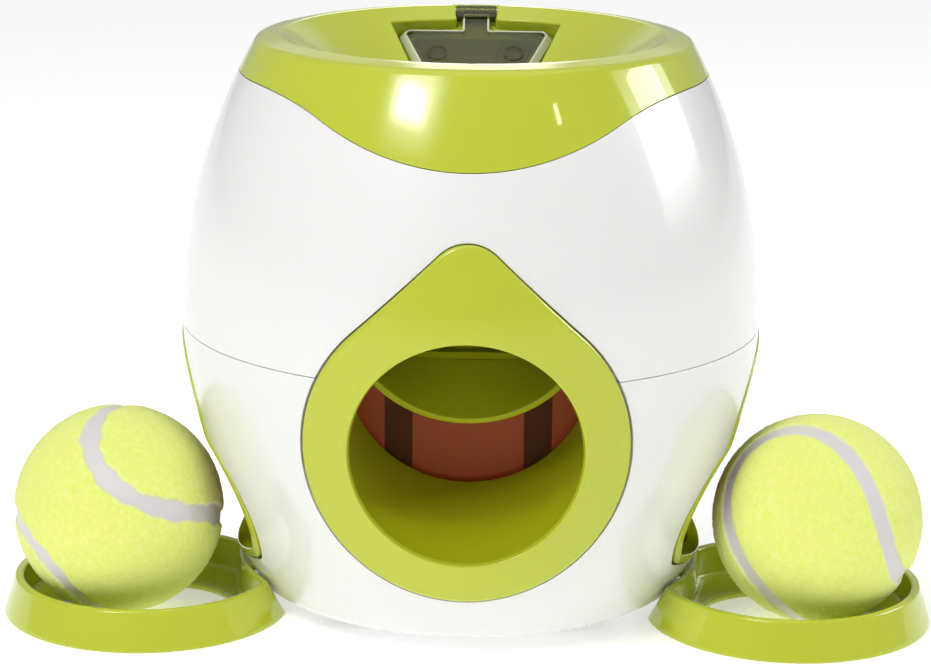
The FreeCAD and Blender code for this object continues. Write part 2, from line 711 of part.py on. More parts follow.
# ---------------------------------------------------------------- bowl with rim and skirt
bowl_skin = spun("bowl_skin", [
    (radius_above("wave_low"), "wave_low", UPPER_ARC),
    (LIP_X, LIP_Z, "lip_round"),
    ("crest_r", "crest_z", "crest_round"),
    (CONE_R, CONE_Z),
    ("flare_r", cone_z("flare_r")),
    ("throat_r", cone_z("flare_r") + " - throat_flare - 1"),
    ("throat_r", "throat_low"),
    ("throat_r + throat_wall", "throat_low"),
    ("throat_r + throat_wall", cone_z("flare_r", "wall") + " - throat_flare"),
    ("flare_r + 2", cone_z("flare_r + 2", "wall")),
    (CONE_R, cone_z(CONE_R, "wall")),
    ("crest_r", "crest_z - wall", "-(lip_round - wall)"),
    (f"crest_r + (lip_round - wall) * ({LIP_X} - crest_r) / lip_round",
     f"crest_z - lip_round + (lip_round - wall) * ({LIP_Z} - crest_z + lip_round) / lip_round",
     f"-({UPPER_ARC} - wall)"),
    (radius_above("wave_low", "wall"), "wave_low"),
])
bowl_fill = spun("bowl_fill", [
    ("throat_r + throat_wall / 2", "throat_low"),
    ("crest_r + lip_round - wall", "throat_low"),
    ("crest_r + lip_round - wall", "crest_z - lip_round + 1"),
    ("crest_r + 2", "crest_z - wall / 2"),
    ("crest_r", "crest_z - wall / 2"),
    (CONE_R, cone_z(CONE_R, "wall / 2")),
    ("flare_r", cone_z("flare_r", "wall / 2")),
    ("throat_r + throat_wall / 2", cone_z("flare_r", "wall") + " - throat_flare"),
])


def lid_loop(side="0", near="0", far="0"):
    """The lid's outline in its own plane, X across and Y up the slope, with the hinge at the origin.
    It can be grown at its sides, towards the hinge and away from it."""
    lean = "((lid_wide - lid_narrow) / (lid_far - lid_near))"
    top = f"(({near}) - lid_near)"
    bottom = f"(0 - lid_far - ({far}))"
    wide = f"(lid_wide + ({side}) + ({near}) * {lean})"
    narrow = f"(lid_narrow + ({side}) - ({far}) * {lean})"
    return [(f"-{narrow}", bottom), (narrow, bottom), (wide, top), (f"-{wide}", top)]


def on_slope(feature):
    """Moves a piece drawn in the lid's plane into its place on the bowl's slope."""
    turn(feature, FreeCAD.Vector(1, 0, 0), "bowl_slope")
    return place(feature, "0", "hinge_y", "hinge_z")


def strip_loop(half, start, end):
    """A rectangle in the lid's plane."""
    return [(f"-({half})", start), (half, start), (half, end), (f"-({half})", end)]


seat_loop = lid_loop("seat_side", "seat_aft", "lid_gap")
frame_loop = lid_loop("seat_side + frame_wide", "seat_aft + frame_wide", "lid_gap + frame_wide")
lid_frame = on_slope(slab("lid_frame", "XY_Plane", [frame_loop], "-6", "9"))
hinge_block = on_slope(slab("hinge_block", "XY_Plane", [strip_loop("head_half + 4", "-9", "5")], "-6", "9"))
recess_block = slab("recess", "XY_Plane", [seat_loop], "-lid_thick / 2", "14")
recess = on_slope(corners_rounded(recess_block, "seat_round"))
mouth_loop = lid_loop("-lid_ledge", "-lid_ledge", "-lid_ledge")
lid_mouth = on_slope(slab("lid_mouth", "XY_Plane", [mouth_loop], "-24", "14"))
neck_slot = on_slope(slab("neck_slot", "XY_Plane", [strip_loop("neck_half + lid_gap", "-lid_near", "0")],
                          "-lid_thick / 2 - lid_gap", "14"))
head_slot = on_slope(slab("head_slot", "XY_Plane", [
    strip_loop("head_half + lid_gap", "-head_r - 1.2", "head_r + 1.2")], "-head_r - lid_gap", "14"))
pin_bore = rod("pin_bore", ("-head_half - 5", "hinge_y", "hinge_z"), "lid_pin_r", "2 * head_half + 10", TO_X)
bowl_bosses = at_quarters("bowl_boss", boss("collar_top", "crest_z - collar_top", "boss_r - 0.5"),
                          "bowl_screw_at")
bowl_pilots = at_quarters("bowl_pilot", boss("collar_top - 1", "9", "screw_r"), "bowl_screw_at")
ear_bosses = []
ear_pilots = []
for index, side in enumerate((-1, 1)):
    ear_at = (f"{side} * ear_x", "ear_y")
    ear_bosses.append(rod(f"ear_boss_{index}", (*ear_at, "hopper_low + 8 + wall"), "boss_r - 0.5", "30"))
    ear_pilots.append(rod(f"ear_pilot_{index}", (*ear_at, "hopper_low"), "screw_r", "18"))
bowl_under = shared("bowl_under", fused("bowl_under_set", lid_frame, hinge_block, *bowl_bosses, *ear_bosses),
                    bowl_fill)
TUBE_IN = "(throat_r + throat_wall + fit_gap)"
TUBE_OUT = f"({TUBE_IN} + tube_wall)"
tube_room = spun("tube_room", [
    (TUBE_IN, "throat_low - 1"),
    (f"{TUBE_OUT} + fit_gap", "throat_low - 1"),
    (f"{TUBE_OUT} + fit_gap", "tube_high + fit_gap"),
    (TUBE_IN, "tube_high + fit_gap"),
])
bowl_solid = fused("bowl_solid", cut("bowl_open", bowl_skin, wave_block("wave_edge", "0")), bowl_under)
node("top_bowl", cut("bowl_piece", bowl_solid, recess, lid_mouth, neck_slot, head_slot, pin_bore, tube_room,
                     *bowl_pilots, *ear_pilots))

# ---------------------------------------------------------------- smoked lid and its pin
lid_plate = on_slope(corners_rounded(slab("lid_plate", "XY_Plane", [lid_loop()], "-lid_thick / 2 + 0.05",
                                          "lid_thick / 2"), "lid_round"))
lid_neck = on_slope(slab("lid_neck", "XY_Plane", [strip_loop("neck_half", "-lid_near - 1", "0")],
                         "-lid_thick / 2 + 0.05", "lid_thick / 2"))
lid_head = rod("lid_head", ("-head_half", "hinge_y", "hinge_z"), "head_r", "2 * head_half", TO_X)
lid_bore = rod("lid_bore", ("-head_half - 1", "hinge_y", "hinge_z"), "lid_pin_r + run_gap",
               "2 * head_half + 2", TO_X)
lid_knobs = []
for index, side in enumerate((-1, 1)):
    knob_loop = ("circle", f"{side} * knob_x", "-lid_far + knob_up", "knob_r")
    knob = slab(f"lid_knob_{index}", "XY_Plane", [knob_loop], "lid_thick / 2 - 0.5", "lid_thick / 2 + 0.8")
    lid_knobs.append(on_slope(knob))
node("treat_lid", cut("lid_piece", fused("lid_solid", lid_plate, lid_neck, lid_head, *lid_knobs), lid_bore))
node("lid_pin", rod("lid_rod", ("-head_half - 3.5", "hinge_y", "hinge_z"), "lid_pin_r", "2 * head_half + 7",
                    TO_X))

# ---------------------------------------------------------------- front trim
trim_layer = shell_ring("trim_layer", "-proud", "wall + 0.1", "foot_high + 4", "collar_top")
flange_layer = shell_ring("flange_layer", "wall + 0.1", "wall + 1.7", "foot_high + 4", "collar_top")
hole = slab("hole", "XZ_Plane", [("circle", "0", "hole_z", "hole_r")], "20", "r_wide + 20")
trim_face = shared("trim_face", trim_layer, drop_block("drop_face", "0"))
trim_flange = shared("trim_flange", flange_layer, drop_block("drop_flange", "trim_lap"))
trim_solid = fused("trim_solid", trim_face, trim_flange)
node("front_bezel", cut("front_trim", trim_solid, hole))

# ---------------------------------------------------------------- doorway frames
door_layer = shell_ring("door_layer", "-door_proud", "wall + 0.1", "foot_high + 4", "collar_top")
door_outer = door_block("door_outer", "door_trim")
door_flange = door_block("door_flange", "door_trim + trim_lap - 1.5")
door_inner = door_block("door_inner", "0", "30")
door_face = shared("door_face", door_layer, door_outer)
door_back = shared("door_back", flange_layer, door_flange)
door_solid = fused("door_solid", door_face, door_back)
door_right = node("exit_bezel_right", cut("door_frame", door_solid, door_inner))
node("exit_bezel_left", mirrored("door_frame_left", door_right))


# ---------------------------------------------------------------- treat cup
CUP_LONG = "(cup_back_y - cup_front_y)"
CUP_TILT = f"(atan(cup_climb / {CUP_LONG}) / 1 deg)"


def cup_cone(name, grow, past="0"):
    """The cup's cone, which rises from the front opening to the back and can run past its back end."""
    slant = f"({CUP_LONG} / {cosine(CUP_TILT)})"
    front = f"(hole_r + cup_gap + ({grow}))"
    swell = f"(cup_flare / {slant})"
    lead = "20"
    cone = spun(name, [
        ("0", f"0 - {lead}"),
        (f"{front} - {swell} * {lead}", f"0 - {lead}"),
        (f"{front} + {swell} * ({slant} + {lead})", f"{slant} + {lead}"),
        ("0", f"{slant} + {lead}"),
    ])
    turn(cone, FreeCAD.Vector(-1, 0, 0), f"90 - {CUP_TILT}")
    place(cone, "0", "cup_front_y", "hole_z + cup_high")
    return shared(name + "_stretch", cone, block(name + "_span", ("-r_wide", "-r_wide", "0"),
                                                 ("r_wide", f"cup_back_y + ({past})", "crest_z")))


cup_space = inner_space("cup_space", "wall + 1.9", "foot_high + wall", "collar_top")
cup_shape = cut("cup_shape", cup_cone("cup_outer", "cup_wall"), cup_cone("cup_inner", "0", "0.5"),
                block("cup_lid", ("-r_wide", "-r_wide", "cup_top"), ("r_wide", "0", "crest_z + 1")))
node("treat_cup", shared("cup_piece", cup_shape, cup_space))


# ---------------------------------------------------------------- treat spout
def spout_loop(bottom, rise):
    """A thick arc open at the top: the spout's section."""
    inner = bow("spout_half", rise)
    outer_half = "(spout_half + spout_wall)"
    outer = bow(outer_half, f"{rise} + spout_wall")
    return [
        ("-spout_half", f"{bottom} + {rise}", inner),
        ("0", bottom, inner),
        ("spout_half", f"{bottom} + {rise}"),
        (outer_half, f"{bottom} + {rise}", f"-{outer}"),
        ("0", f"{bottom} - spout_wall", f"-{outer}"),
        (f"-{outer_half}", f"{bottom} + {rise}"),
    ]


spout = DOC.addObject("PartDesign::Body", "spout")
spout_front = new_sketch(spout, "XZ_Plane", "spout_front", [
    spout_loop("lip_z", "(lip_r - sqrt(lip_r^2 - spout_half^2))")], "-lip_y")
spout_back = new_sketch(spout, "XZ_Plane", "spout_back", [spout_loop("spout_back_z", "spout_back_bow")],
                        "-spout_back_y")
spout_body = spout.newObject("PartDesign::AdditiveLoft", "spout_loft")
spout_body.Profile = spout_front
spout_body.Sections = [spout_back]
spout_body.Ruled = True
node("treat_spout", spout)

# ---------------------------------------------------------------- treat slide
slide_plate = spun("slide_plate", [
    ("20", "0"),
    ("slide_r - slide_thick", "0"),
    ("slide_r - slide_thick", "slide_rim"),
    ("slide_r", "slide_rim"),
    ("slide_r", "-slide_thick"),
    ("20", "-slide_thick"),
])


def on_slide(feature, z="slide_z"):
    """Tilts a piece like the slide and moves it up the axis."""
    turn(feature, FreeCAD.Vector(1, 0, 0), "slide_tilt")
    return place(feature, "0", "0", z)


on_slide(slide_plate)
slide_collar = rod("slide_collar", ("0", "0", "slide_z - 20"), f"{TUBE_OUT} + fit_gap + 1.4", "36")
above_slide = on_slide(rod("above_slide", ("0", "0", "0"), "slide_r", "6"), "slide_z")
collar = shared("collar", slide_collar, above_slide)
tube_floor = f"(slide_z - (slide_thick - tube_seat) / {cosine('slide_tilt')})"
above_seat = on_slide(rod("above_seat", ("0", "0", "0"), "2 * slide_r", "3 * slide_r"), tube_floor)
slide_bore_rod = rod("slide_bore_rod", ("0", "0", "slide_z - 40"), f"{TUBE_OUT} + fit_gap", "80")
slide_bore = shared("slide_bore", slide_bore_rod, above_seat)
slide_throat = rod("slide_throat", ("0", "0", "slide_z - 40"), TUBE_IN, "80")
wheel_room = rod("wheel_room", ("-paddle_half - 1.2", "wheel_y", "wheel_z"), "paddle_r + 1",
                 "2 * paddle_half + 2.4", TO_X)
spout_room = block("spout_room", ("-spout_half - spout_wall - 0.5", "-r_wide", "0"),
                   ("spout_half + spout_wall + 0.5", "spout_back_y + 0.4", "crest_z"))
node("treat_slide", cut("slide_piece", fused("slide_solid", slide_plate, collar), slide_bore, slide_throat,
                        spout_room, wheel_room))

# ---------------------------------------------------------------- drop tube
tube_shape = shared("tube_shape", above_seat, spun("tube_ring", [
    (TUBE_IN, "slide_z - 30"),
    (TUBE_OUT, "slide_z - 30"),
    (TUBE_OUT, "tube_high"),
    (TUBE_IN, "tube_high"),
]))
paddle_slot = block("paddle_slot", ("-paddle_half - 1.2", "10", "wheel_z - paddle_r"),
                    ("paddle_half + 1.2", "wheel_y", "wheel_z + paddle_r"))
node("drop_tube", cut("tube_piece", tube_shape, paddle_slot))

# ---------------------------------------------------------------- treat wheel, shaft and bushes
PADDLES = 6


def across(name, radius, half):
    """A cylinder about the wheel's axis, centred on X = 0."""
    return rod(name, (f"-({half})", "wheel_y", "wheel_z"), radius, f"2 * ({half})", TO_X)


def paddle_loop(index):
    """One paddle's outline in the YZ plane."""
    angle = f"({index} * 360 / {PADDLES})"
    side = ["0 - paddle_thick / 2", "paddle_thick / 2"]
    reach = ["shaft_r + 0.6", "paddle_r"]
    corners = [(reach[0], side[0]), (reach[1], side[0]), (reach[1], side[1]), (reach[0], side[1])]
    return [(f"wheel_y + ({out}) * {cosine(angle)} - ({off}) * {sine(angle)}",
             f"wheel_z + ({out}) * {sine(angle)} + ({off}) * {cosine(angle)}") for out, off in corners]


paddles = [slab(f"paddle_{index}", "YZ_Plane", [paddle_loop(index)], "-paddle_half", "paddle_half")
           for index in range(PADDLES)]
pockets = []
for index in range(PADDLES):
    pocket_turn = f"({index} * 360 / {PADDLES} + 180 / {PADDLES})"
    for side in (-1, 1):
        start = "paddle_half + 2" if side > 0 else "-drum_half - 1"
        pockets.append(rod(f"pocket_{index}_{side + 1}", (
            start, f"wheel_y + drum_r * {cosine(pocket_turn)}", f"wheel_z + drum_r * {sine(pocket_turn)}"),
            "pocket_r", "drum_half - paddle_half - 1", TO_X))
wheel_solid = fused("wheel_solid", across("drum", "drum_r", "drum_half"), *paddles)
wheel_bore = across("wheel_bore", "shaft_r", "drum_half + 1")
node("treat_wheel", cut("wheel_piece", wheel_solid, wheel_bore, *pockets))
node("wheel_shaft", across("shaft", "shaft_r", "shaft_half"))
bush_near = "(drum_half + 1)"
bushes = []
for index, side in enumerate((-1, 1)):
    start = bush_near if side > 0 else f"(-{bush_near} - cheek_thick - 1)"
    outer = rod(f"bush_{index}", (start, "wheel_y", "wheel_z"), "bush_r", "cheek_thick + 1", TO_X)
    inner = rod(f"bush_bore_{index}", (f"{start} - 1", "wheel_y", "wheel_z"), "shaft_r + run_gap",
                "cheek_thick + 3", TO_X)
    bushes.append(cut(f"bush_ring_{index}", outer, inner))
node("shaft_bushes", fused("bush_pair", *bushes))

# ---------------------------------------------------------------- treat hopper
hopper_box = block("hopper_box", ("-hopper_half", "hopper_front", "hopper_low"),
                   ("hopper_half", "hopper_back", "crest_z"))
hopper_well = block("hopper_well", ("-hopper_half + hopper_wall", "hopper_front + hopper_wall",
                                    "hopper_low + hopper_wall"),
                    ("hopper_half - hopper_wall", "hopper_back - hopper_wall", "crest_z + 1"))
tunnel_half = "(paddle_half + 1.2)"
tunnel_outer = block("tunnel_outer", (f"-{tunnel_half} - hopper_wall", "hopper_front", "hopper_low"),
                     (f"{tunnel_half} + hopper_wall", "hopper_back", "wheel_z + paddle_r + 1 + hopper_wall"))
tunnel_inner = block("tunnel_inner", (f"-{tunnel_half}", "10", "hopper_low - 20"),
                     (tunnel_half, "wheel_y + paddle_r + 1", "wheel_z + paddle_r + 1"))
outlets = []
for index, side in enumerate((-1, 1)):
    start = f"({tunnel_half} + hopper_wall)" if side > 0 else "(-drum_half)"
    end = "drum_half" if side > 0 else f"(-{tunnel_half} - hopper_wall)"
    outlets.append(block(f"outlet_{index}", (start, "wheel_y - 4", "hopper_low - 1"),
                         (end, "wheel_y + 7", "hopper_low + hopper_wall + 1")))
cheeks = []
for index, side in enumerate((-1, 1)):
    start = f"({bush_near} + 0.5)" if side > 0 else f"(-{bush_near} - 0.5 - cheek_thick)"
    cheeks.append(block(f"cheek_{index}", (start, "wheel_y - 6.2", "wheel_z - 6"),
                        (f"{start} + cheek_thick", "wheel_y + 7", "hopper_low + 1")))
ears = []
for index, side in enumerate((-1, 1)):
    start = "(hopper_half - 1)" if side > 0 else "(-ear_x - boss_r)"
    end = f"{start} + ear_x + boss_r - hopper_half + 1"
    ears.append(block(f"ear_{index}", (start, "ear_y - boss_r", "hopper_low + 8"),
                      (end, "ear_y + boss_r", "hopper_low + 8 + wall")))
hopper_tub = cut("hopper_tub", hopper_box, hopper_well)
hopper_shape = fused("hopper_shape", hopper_tub, tunnel_outer, *cheeks, *ears)
under_bowl = spun("under_bowl", [
    ("0", "z_seam"),
    (radius_above("z_seam", "2 * wall + 0.5"), "z_seam", f"{UPPER_ARC} - 2 * wall - 0.5"),
    (radius_above("collar_top + 2", "2 * wall + 0.5"), "collar_top + 2"),
    ("crest_r", cone_z("crest_r", "wall + 6.4")),
    ("20", cone_z("20", "wall + 6.4")),
    ("0", cone_z("20", "wall + 6.4")),
])
hopper_limit = on_slope(slab("hopper_limit", "XY_Plane", [strip_loop("r_wide", "-r_wide", "r_wide")], "-90",
                             "-6.4"))
cheek_bore = across("cheek_bore", "bush_r", "drum_half + 8")
ear_holes = [rod(f"ear_hole_{index}", (f"{side} * ear_x", "ear_y", "hopper_low + 5"), "screw_r + 0.2", "10")
             for index, side in enumerate((-1, 1))]
hopper_solid = shared("hopper_solid", hopper_shape, under_bowl, hopper_limit)
node("treat_hopper", cut("hopper_piece", hopper_solid, tunnel_inner, cheek_bore, *outlets, *ear_holes))

# ---------------------------------------------------------------- ball runway
run_space = inner_space("run_space", "wall + 2.1", "foot_high + 2 * wall + 0.4", "collar_top")
run_half = "(guide_half - 0.2)"
run_arc = bow(run_half, "run_bow")
trough = slab("trough", "YZ_Plane", [[
    (f"-{run_half}", "run_bow", run_arc),
    ("0", "0", run_arc),
    (run_half, "run_bow"),
    (run_half, "run_bow - run_thick", f"-{run_arc}"),
    ("0", "-run_thick", f"-{run_arc}"),
    (f"-{run_half}", "run_bow - run_thick"),
]], "-2", "r_wide + 2")
turn(trough, FreeCAD.Vector(0, 1, 0), "run_slope")
place(trough, "0", "0", f"sill_z + run_reach * {tangent('run_slope')}")
trough_left = mirrored("trough_left", trough)
ribs = []
for index, reach in enumerate(("-46", "-18", "18", "46")):
    ribs.append(block(f"rib_{index}", (f"{reach} - 1", "-28", "base_gap + foot_high + base_thick"),
                      (f"{reach} + 1", "28", f"sill_z - 0.5 + (run_reach - {reach.lstrip('-')}) "
                                            f"* {tangent('run_slope')}")))
run_trimmed = shared("run_trimmed", fused("trough_pair", trough, trough_left), run_space)
hub_room = rod("hub_room", ("0", "-r_wide", "pin_z"), "flap_hub + 0.6", "2 * r_wide", TO_Y)
node("ball_runway", cut("runway", fused("runway_solid", run_trimmed, *ribs), hub_room))

# ---------------------------------------------------------------- ball guide
slide_under = f"(slide_z - slide_thick / {cosine('slide_tilt')})"


def guide_loop(top):
    """A guide wall's outline in the XZ plane: low at the doorways, tall in the middle."""
    return [
        ("-r_wide - 2", "guide_low"),
        ("r_wide + 2", "guide_low"),
        ("r_wide + 2", "guide_step"),
        ("guide_mid", "guide_step"),
        ("guide_mid", top),
        ("-guide_mid", top),
        ("-guide_mid", "guide_step"),
        ("-r_wide - 2", "guide_step"),
    ]


front_top = f"({slide_under} - guide_out * {tangent('slide_tilt')})"
back_top = f"({slide_under} + guide_half * {tangent('slide_tilt')})"
guide_front = slab("guide_front", "XZ_Plane", [guide_loop(front_top)], "guide_half", "guide_out")
guide_back = slab("guide_back", "XZ_Plane", [guide_loop(back_top)], "-guide_out", "-guide_half")
guide_slots = []
for index, side in enumerate((-1, 1)):
    start = "slot_near" if side > 0 else "(-slot_near - slot_wide)"
    guide_slots.append(block(f"guide_slot_{index}", (start, "-r_wide", "slot_low"),
                             (f"{start} + slot_wide", "r_wide", f"{front_top} - slot_under")))
guide_walls = shared("guide_walls", fused("guide_pair", guide_front, guide_back), run_space)
guide_feet = []
for index, (low, high) in enumerate((("-guide_out", "-guide_half"), ("guide_half", "guide_out"))):
    guide_feet.append(block(f"guide_foot_{index}", ("-guide_mid", low, "base_gap + foot_high + base_thick"),
                            ("guide_mid", high, "guide_low + 2")))
stops = []
for index, side in enumerate((-1, 1)):
    stop_turn = f"({side} * (flap_lean + asin((flap_thick / 2 + stop_r + 0.15) / stop_reach) / 1 deg))"
    for end, start in enumerate(("-guide_out", "flap_half - 1")):
        stops.append(rod(f"stop_{index}_{end}", (f"stop_reach * {sine(stop_turn)}", start,
                                                 f"pin_z + stop_reach * {cosine(stop_turn)}"),
                         "stop_r", "guide_out - flap_half + 1", TO_Y))
guide_notches = at_quarters("guide_notch", boss("foot_high", "wall + 9.5", "boss_r + fit_gap"),
                            "base_screw_at")
guide_bore = rod("guide_bore", ("0", "-guide_out - 1", "pin_z"), "pin_r", "2 * guide_out + 2", TO_Y)
guide_solid = fused("guide_solid", guide_walls, *guide_feet, *stops)
node("ball_guide", cut("guide_piece", guide_solid, guide_bore, *guide_slots, *guide_notches))

# ---------------------------------------------------------------- rocking flap and its pin
flap_plate = slab("flap_plate", "XZ_Plane", [[
    ("-flap_thick / 2", "0"),
    ("flap_thick / 2", "0"),
    ("flap_thick / 2", "flap_high - flap_thick / 2", "flap_thick / 2"),
    ("0", "flap_high", "flap_thick / 2"),
    ("-flap_thick / 2", "flap_high - flap_thick / 2"),
]], "-flap_half", "flap_half")
turn(flap_plate, FreeCAD.Vector(0, -1, 0), "flap_lean")
place(flap_plate, "0", "0", "pin_z")
flap_hub = rod("flap_hub_rod", ("0", "-flap_half", "pin_z"), "flap_hub", "2 * flap_half", TO_Y)
flap_bore = rod("flap_bore", ("0", "-flap_half - 1", "pin_z"), "pin_r + run_gap", "2 * flap_half + 2", TO_Y)
node("diverter_flap", cut("flap_piece", fused("flap_solid", flap_plate, flap_hub), flap_bore))
node("diverter_pin", rod("flap_pin", ("0", "-guide_out", "pin_z"), "pin_r", "2 * guide_out", TO_Y))

# ---------------------------------------------------------------- trays
tray_round = "1.2"
tray_hug = f"({radius_below('tray_high')} + tray_gap)"


def tray_disc(name, loop):
    """A round piece about the right tray's axis."""
    return place(spun(name, loop), "tray_x", "tray_y", "0")


tray_ring = tray_disc("tray_ring", [
    ("10", "0"),
    ("tray_r - 0.5", "0"),
    ("tray_r", "0.5"),
    (f"tray_crest + {tray_round}", f"tray_high - {tray_round}", tray_round),
    ("tray_crest", "tray_high"),
    ("tray_inner", f"tray_high - {tray_round}"),
    ("tray_inner", "tray_floor"),
    ("10", "tray_floor"),
])
tray_outline = tray_disc("tray_outline", [
    ("0", "0"),
    ("tray_r - 0.5", "0"),
    (f"tray_crest + {tray_round}", f"tray_high - {tray_round}"),
    ("tray_crest", "tray_high"),
    ("0", "tray_high"),
])
tray_bank = shared("tray_bank", tray_outline, spun("tray_bank_ring", [
    (tray_hug, "0"),
    (f"{tray_hug} + tray_lip", "0"),
    (f"{tray_hug} + tray_lip", "tray_high"),
    (tray_hug, "tray_high"),
]))
tray_plate = rod("tray_plate", ("tray_x", "tray_y", "0"), "tray_inner + 1", "tray_floor")
tray_tab = block("tray_tab", ("tab_in", "tab_y - tab_half", "tab_low"),
                 (f"{tray_hug} + tray_lip / 2", "tab_y + tab_half", "tab_low + tab_thick"))
hug = rod("hug", ("0", "0", "-1"), tray_hug, "tray_high + 2")
well = rod("well", ("well_x", "well_y", "-1"), "well_r", "tray_floor + 2")
tray_dish = cut("tray_dish", fused("tray_solid", tray_ring, tray_plate, tray_bank), hug, well)
tray_right = node("ball_tray_right", fused("tray_piece", tray_dish, tray_tab))
node("ball_tray_left", mirrored("tray_piece_left", tray_right))

# ---------------------------------------------------------------- balls
for side, x in (("right", "seat_x"), ("left", "-seat_x")):
    ball = DOC.addObject("Part::Sphere", "ball_" + side)
    ball.setExpression("Radius", linked("ball_r"))
    node("tennis_ball_" + side, place(ball, x, "seat_y", "ball_r"))

# ---------------------------------------------------------------- base plate, feet and fasteners
base_low = "(foot_high + base_gap)"
base_r = f"({radius_below('foot_high + foot_round / 2')} - 0.87 * foot_round - 1.6)"
base_disc = rod("base_disc", ("0", "0", base_low), base_r, "wall - base_gap")
base_holes = at_quarters("base_hole", boss("foot_high - 1", "8", "screw_r + 0.2"), "base_screw_at")
base_sink = boss("foot_high - 1", "base_gap + 1 + head_deep / 2", "head_wide + 0.3")
base_sinks = at_quarters("base_sink", base_sink, "base_screw_at")
pad_holes = at_quarters("pad_hole", boss("foot_high - 1", "8", "foot_pad_r - 3"), "foot_at")
node("base_plate", cut("base_piece", base_disc, *base_holes, *base_sinks, *pad_holes))
pads = at_quarters("pad", boss("0", "foot_high + base_gap", "foot_pad_r"), "foot_at")
plugs = at_quarters("plug", boss("1", "foot_high + wall - 1.4", "foot_pad_r - 3"), "foot_at")
node("rubber_feet", fused("feet", *pads, *plugs))


def screw_set(label, spots, head_z, length):
    """Round-headed screws that point up, one solid each. A spot is a pair of formulas."""
    screws = []
    for index, (x, y) in enumerate(spots):
        head = rod(f"{label}_head_{index}", (x, y, f"{head_z} - head_deep"), "head_wide", "head_deep")
        shank = rod(f"{label}_shank_{index}", (x, y, f"{head_z} - head_deep / 2"), "screw_r", length)
        screws.append(fused(f"{label}_screw_{index}", head, shank))
    return node(label, fused(label + "_set", *screws))


def quarter_spots(reach):
    return [(f"{x} * {reach}", f"{y} * {reach}") for x, y in QUARTERS]


screw_set("base_screws", quarter_spots("base_screw_at"), "(foot_high + base_gap + head_deep / 2)", "8")
screw_set("housing_screws", quarter_spots("boss_at"), "(z_seam - 14)", "24")
screw_set("bowl_screws", quarter_spots("bowl_screw_at"), "(collar_top - wall)", "10")
screw_set("hopper_screws", [("-ear_x", "ear_y"), ("ear_x", "ear_y")], "(hopper_low + 8)", "9")

# ---------------------------------------------------------------- build, check and write
DOC.recompute()
for item in DOC.Objects:
    if "Invalid" in item.State or "Error" in item.State:
        raise RuntimeError(f"{item.Label} failed: {item.State}")
for label, feature in NODES.items():
    if feature.Shape.isNull() or not feature.Shape.isValid() or not feature.Shape.Solids:
        raise RuntimeError(f"{label} has no valid solid")
os.makedirs("parts", exist_ok=True)
for label, feature in NODES.items():
    feature.Shape.exportStep(f"parts/{label}.step")
    box = feature.Shape.BoundBox
    print(f"{label}: {len(feature.Shape.Solids)} solid(s), {feature.Shape.Volume:.0f} mm3, "
          f"x {box.XMin:.1f}..{box.XMax:.1f}, y {box.YMin:.1f}..{box.YMax:.1f}, "
          f"z {box.ZMin:.1f}..{box.ZMax:.1f}")
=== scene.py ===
import math

import bpy
import numpy as np
from mathutils import Euler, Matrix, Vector
from mathutils.geometry import delaunay_2d_cdt
from mathutils.kdtree import KDTree


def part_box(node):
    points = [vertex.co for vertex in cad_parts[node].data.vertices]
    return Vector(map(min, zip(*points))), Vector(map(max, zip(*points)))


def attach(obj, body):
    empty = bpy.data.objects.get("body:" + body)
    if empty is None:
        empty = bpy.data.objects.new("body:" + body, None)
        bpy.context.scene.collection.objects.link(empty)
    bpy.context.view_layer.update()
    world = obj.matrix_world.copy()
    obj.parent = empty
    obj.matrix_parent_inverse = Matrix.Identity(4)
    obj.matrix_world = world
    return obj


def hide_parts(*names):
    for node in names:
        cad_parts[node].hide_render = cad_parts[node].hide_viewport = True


# Looks of the ball-drop treat machine. Sizes are in millimetres and angles in degrees until a mesh
# is made, and lights and the camera are in metres. The frame is the CAD model's: ground at Z = 0,
# housing axis on X = Y = 0, front at -Y.

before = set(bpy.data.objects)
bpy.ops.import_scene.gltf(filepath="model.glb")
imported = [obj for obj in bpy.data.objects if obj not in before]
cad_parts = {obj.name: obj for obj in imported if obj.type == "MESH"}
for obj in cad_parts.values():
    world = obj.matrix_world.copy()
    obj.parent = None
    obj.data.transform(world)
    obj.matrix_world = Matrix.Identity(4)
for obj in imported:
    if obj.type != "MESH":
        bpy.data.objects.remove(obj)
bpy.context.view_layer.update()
MM = 0.001

# ---------------- driving sizes
# Housing: its widest radius, the rim's crest and the foot come from the CAD model.
R_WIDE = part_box("upper_housing")[1].x / MM
CREST_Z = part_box("top_bowl")[1].z / MM
FOOT_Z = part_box("lower_housing")[0].z / MM
SEAM_Z = 88.5
FOOT_R, FOOT_ROUND, FOOT_TURN = 66.7, 5.0, 60.0
CREST_R, CREST_ROUND, LIP_ROUND = 60.0, 6.0, 10.4
WALL = 2.4
GAP = 0.2               # between neighbouring shells
TRIM_GAP = 0.08         # between the shells and the front trim
EDGE = 0.15             # rounding of the shells' moulded edges
LEDGE_R = 58.0          # inner radius of the housing's foot
COLLAR_LOW, COLLAR_SIDE_LOW, COLLAR_SIDE_TOP = 142, 143, 163
COLLAR_TOP, COLLAR_R, COLLAR_WALL = 163.5, 59.0, 1.6

# Wavy edge between skirt and white shell: its heights, half its run and the lower arc's share.
WAVE_LOW, WAVE_HIGH, WAVE_RUN, WAVE_SHARE = 149.7, 166.9, 66.0, 0.665

# Bowl: a crisp crest, a gentle lip with a tight bend outside, a cone with an easier start inside.
BOWL_SLOPE, EASY_SLOPE, EASY_BEND = 37.0, 32.0, 40.0
THROAT_R, THROAT_LOW, THROAT_ROUND = 34.0, 151.0, 7.0
FLARE_R, FLARE_OUT, FLARE_DROP = 37.0, 1.5, 1.2     # where the cone turns down into the throat
FINE_CREST, LIP_SLOPE, LIP_BEND = 1.2, 11.0, 3.2

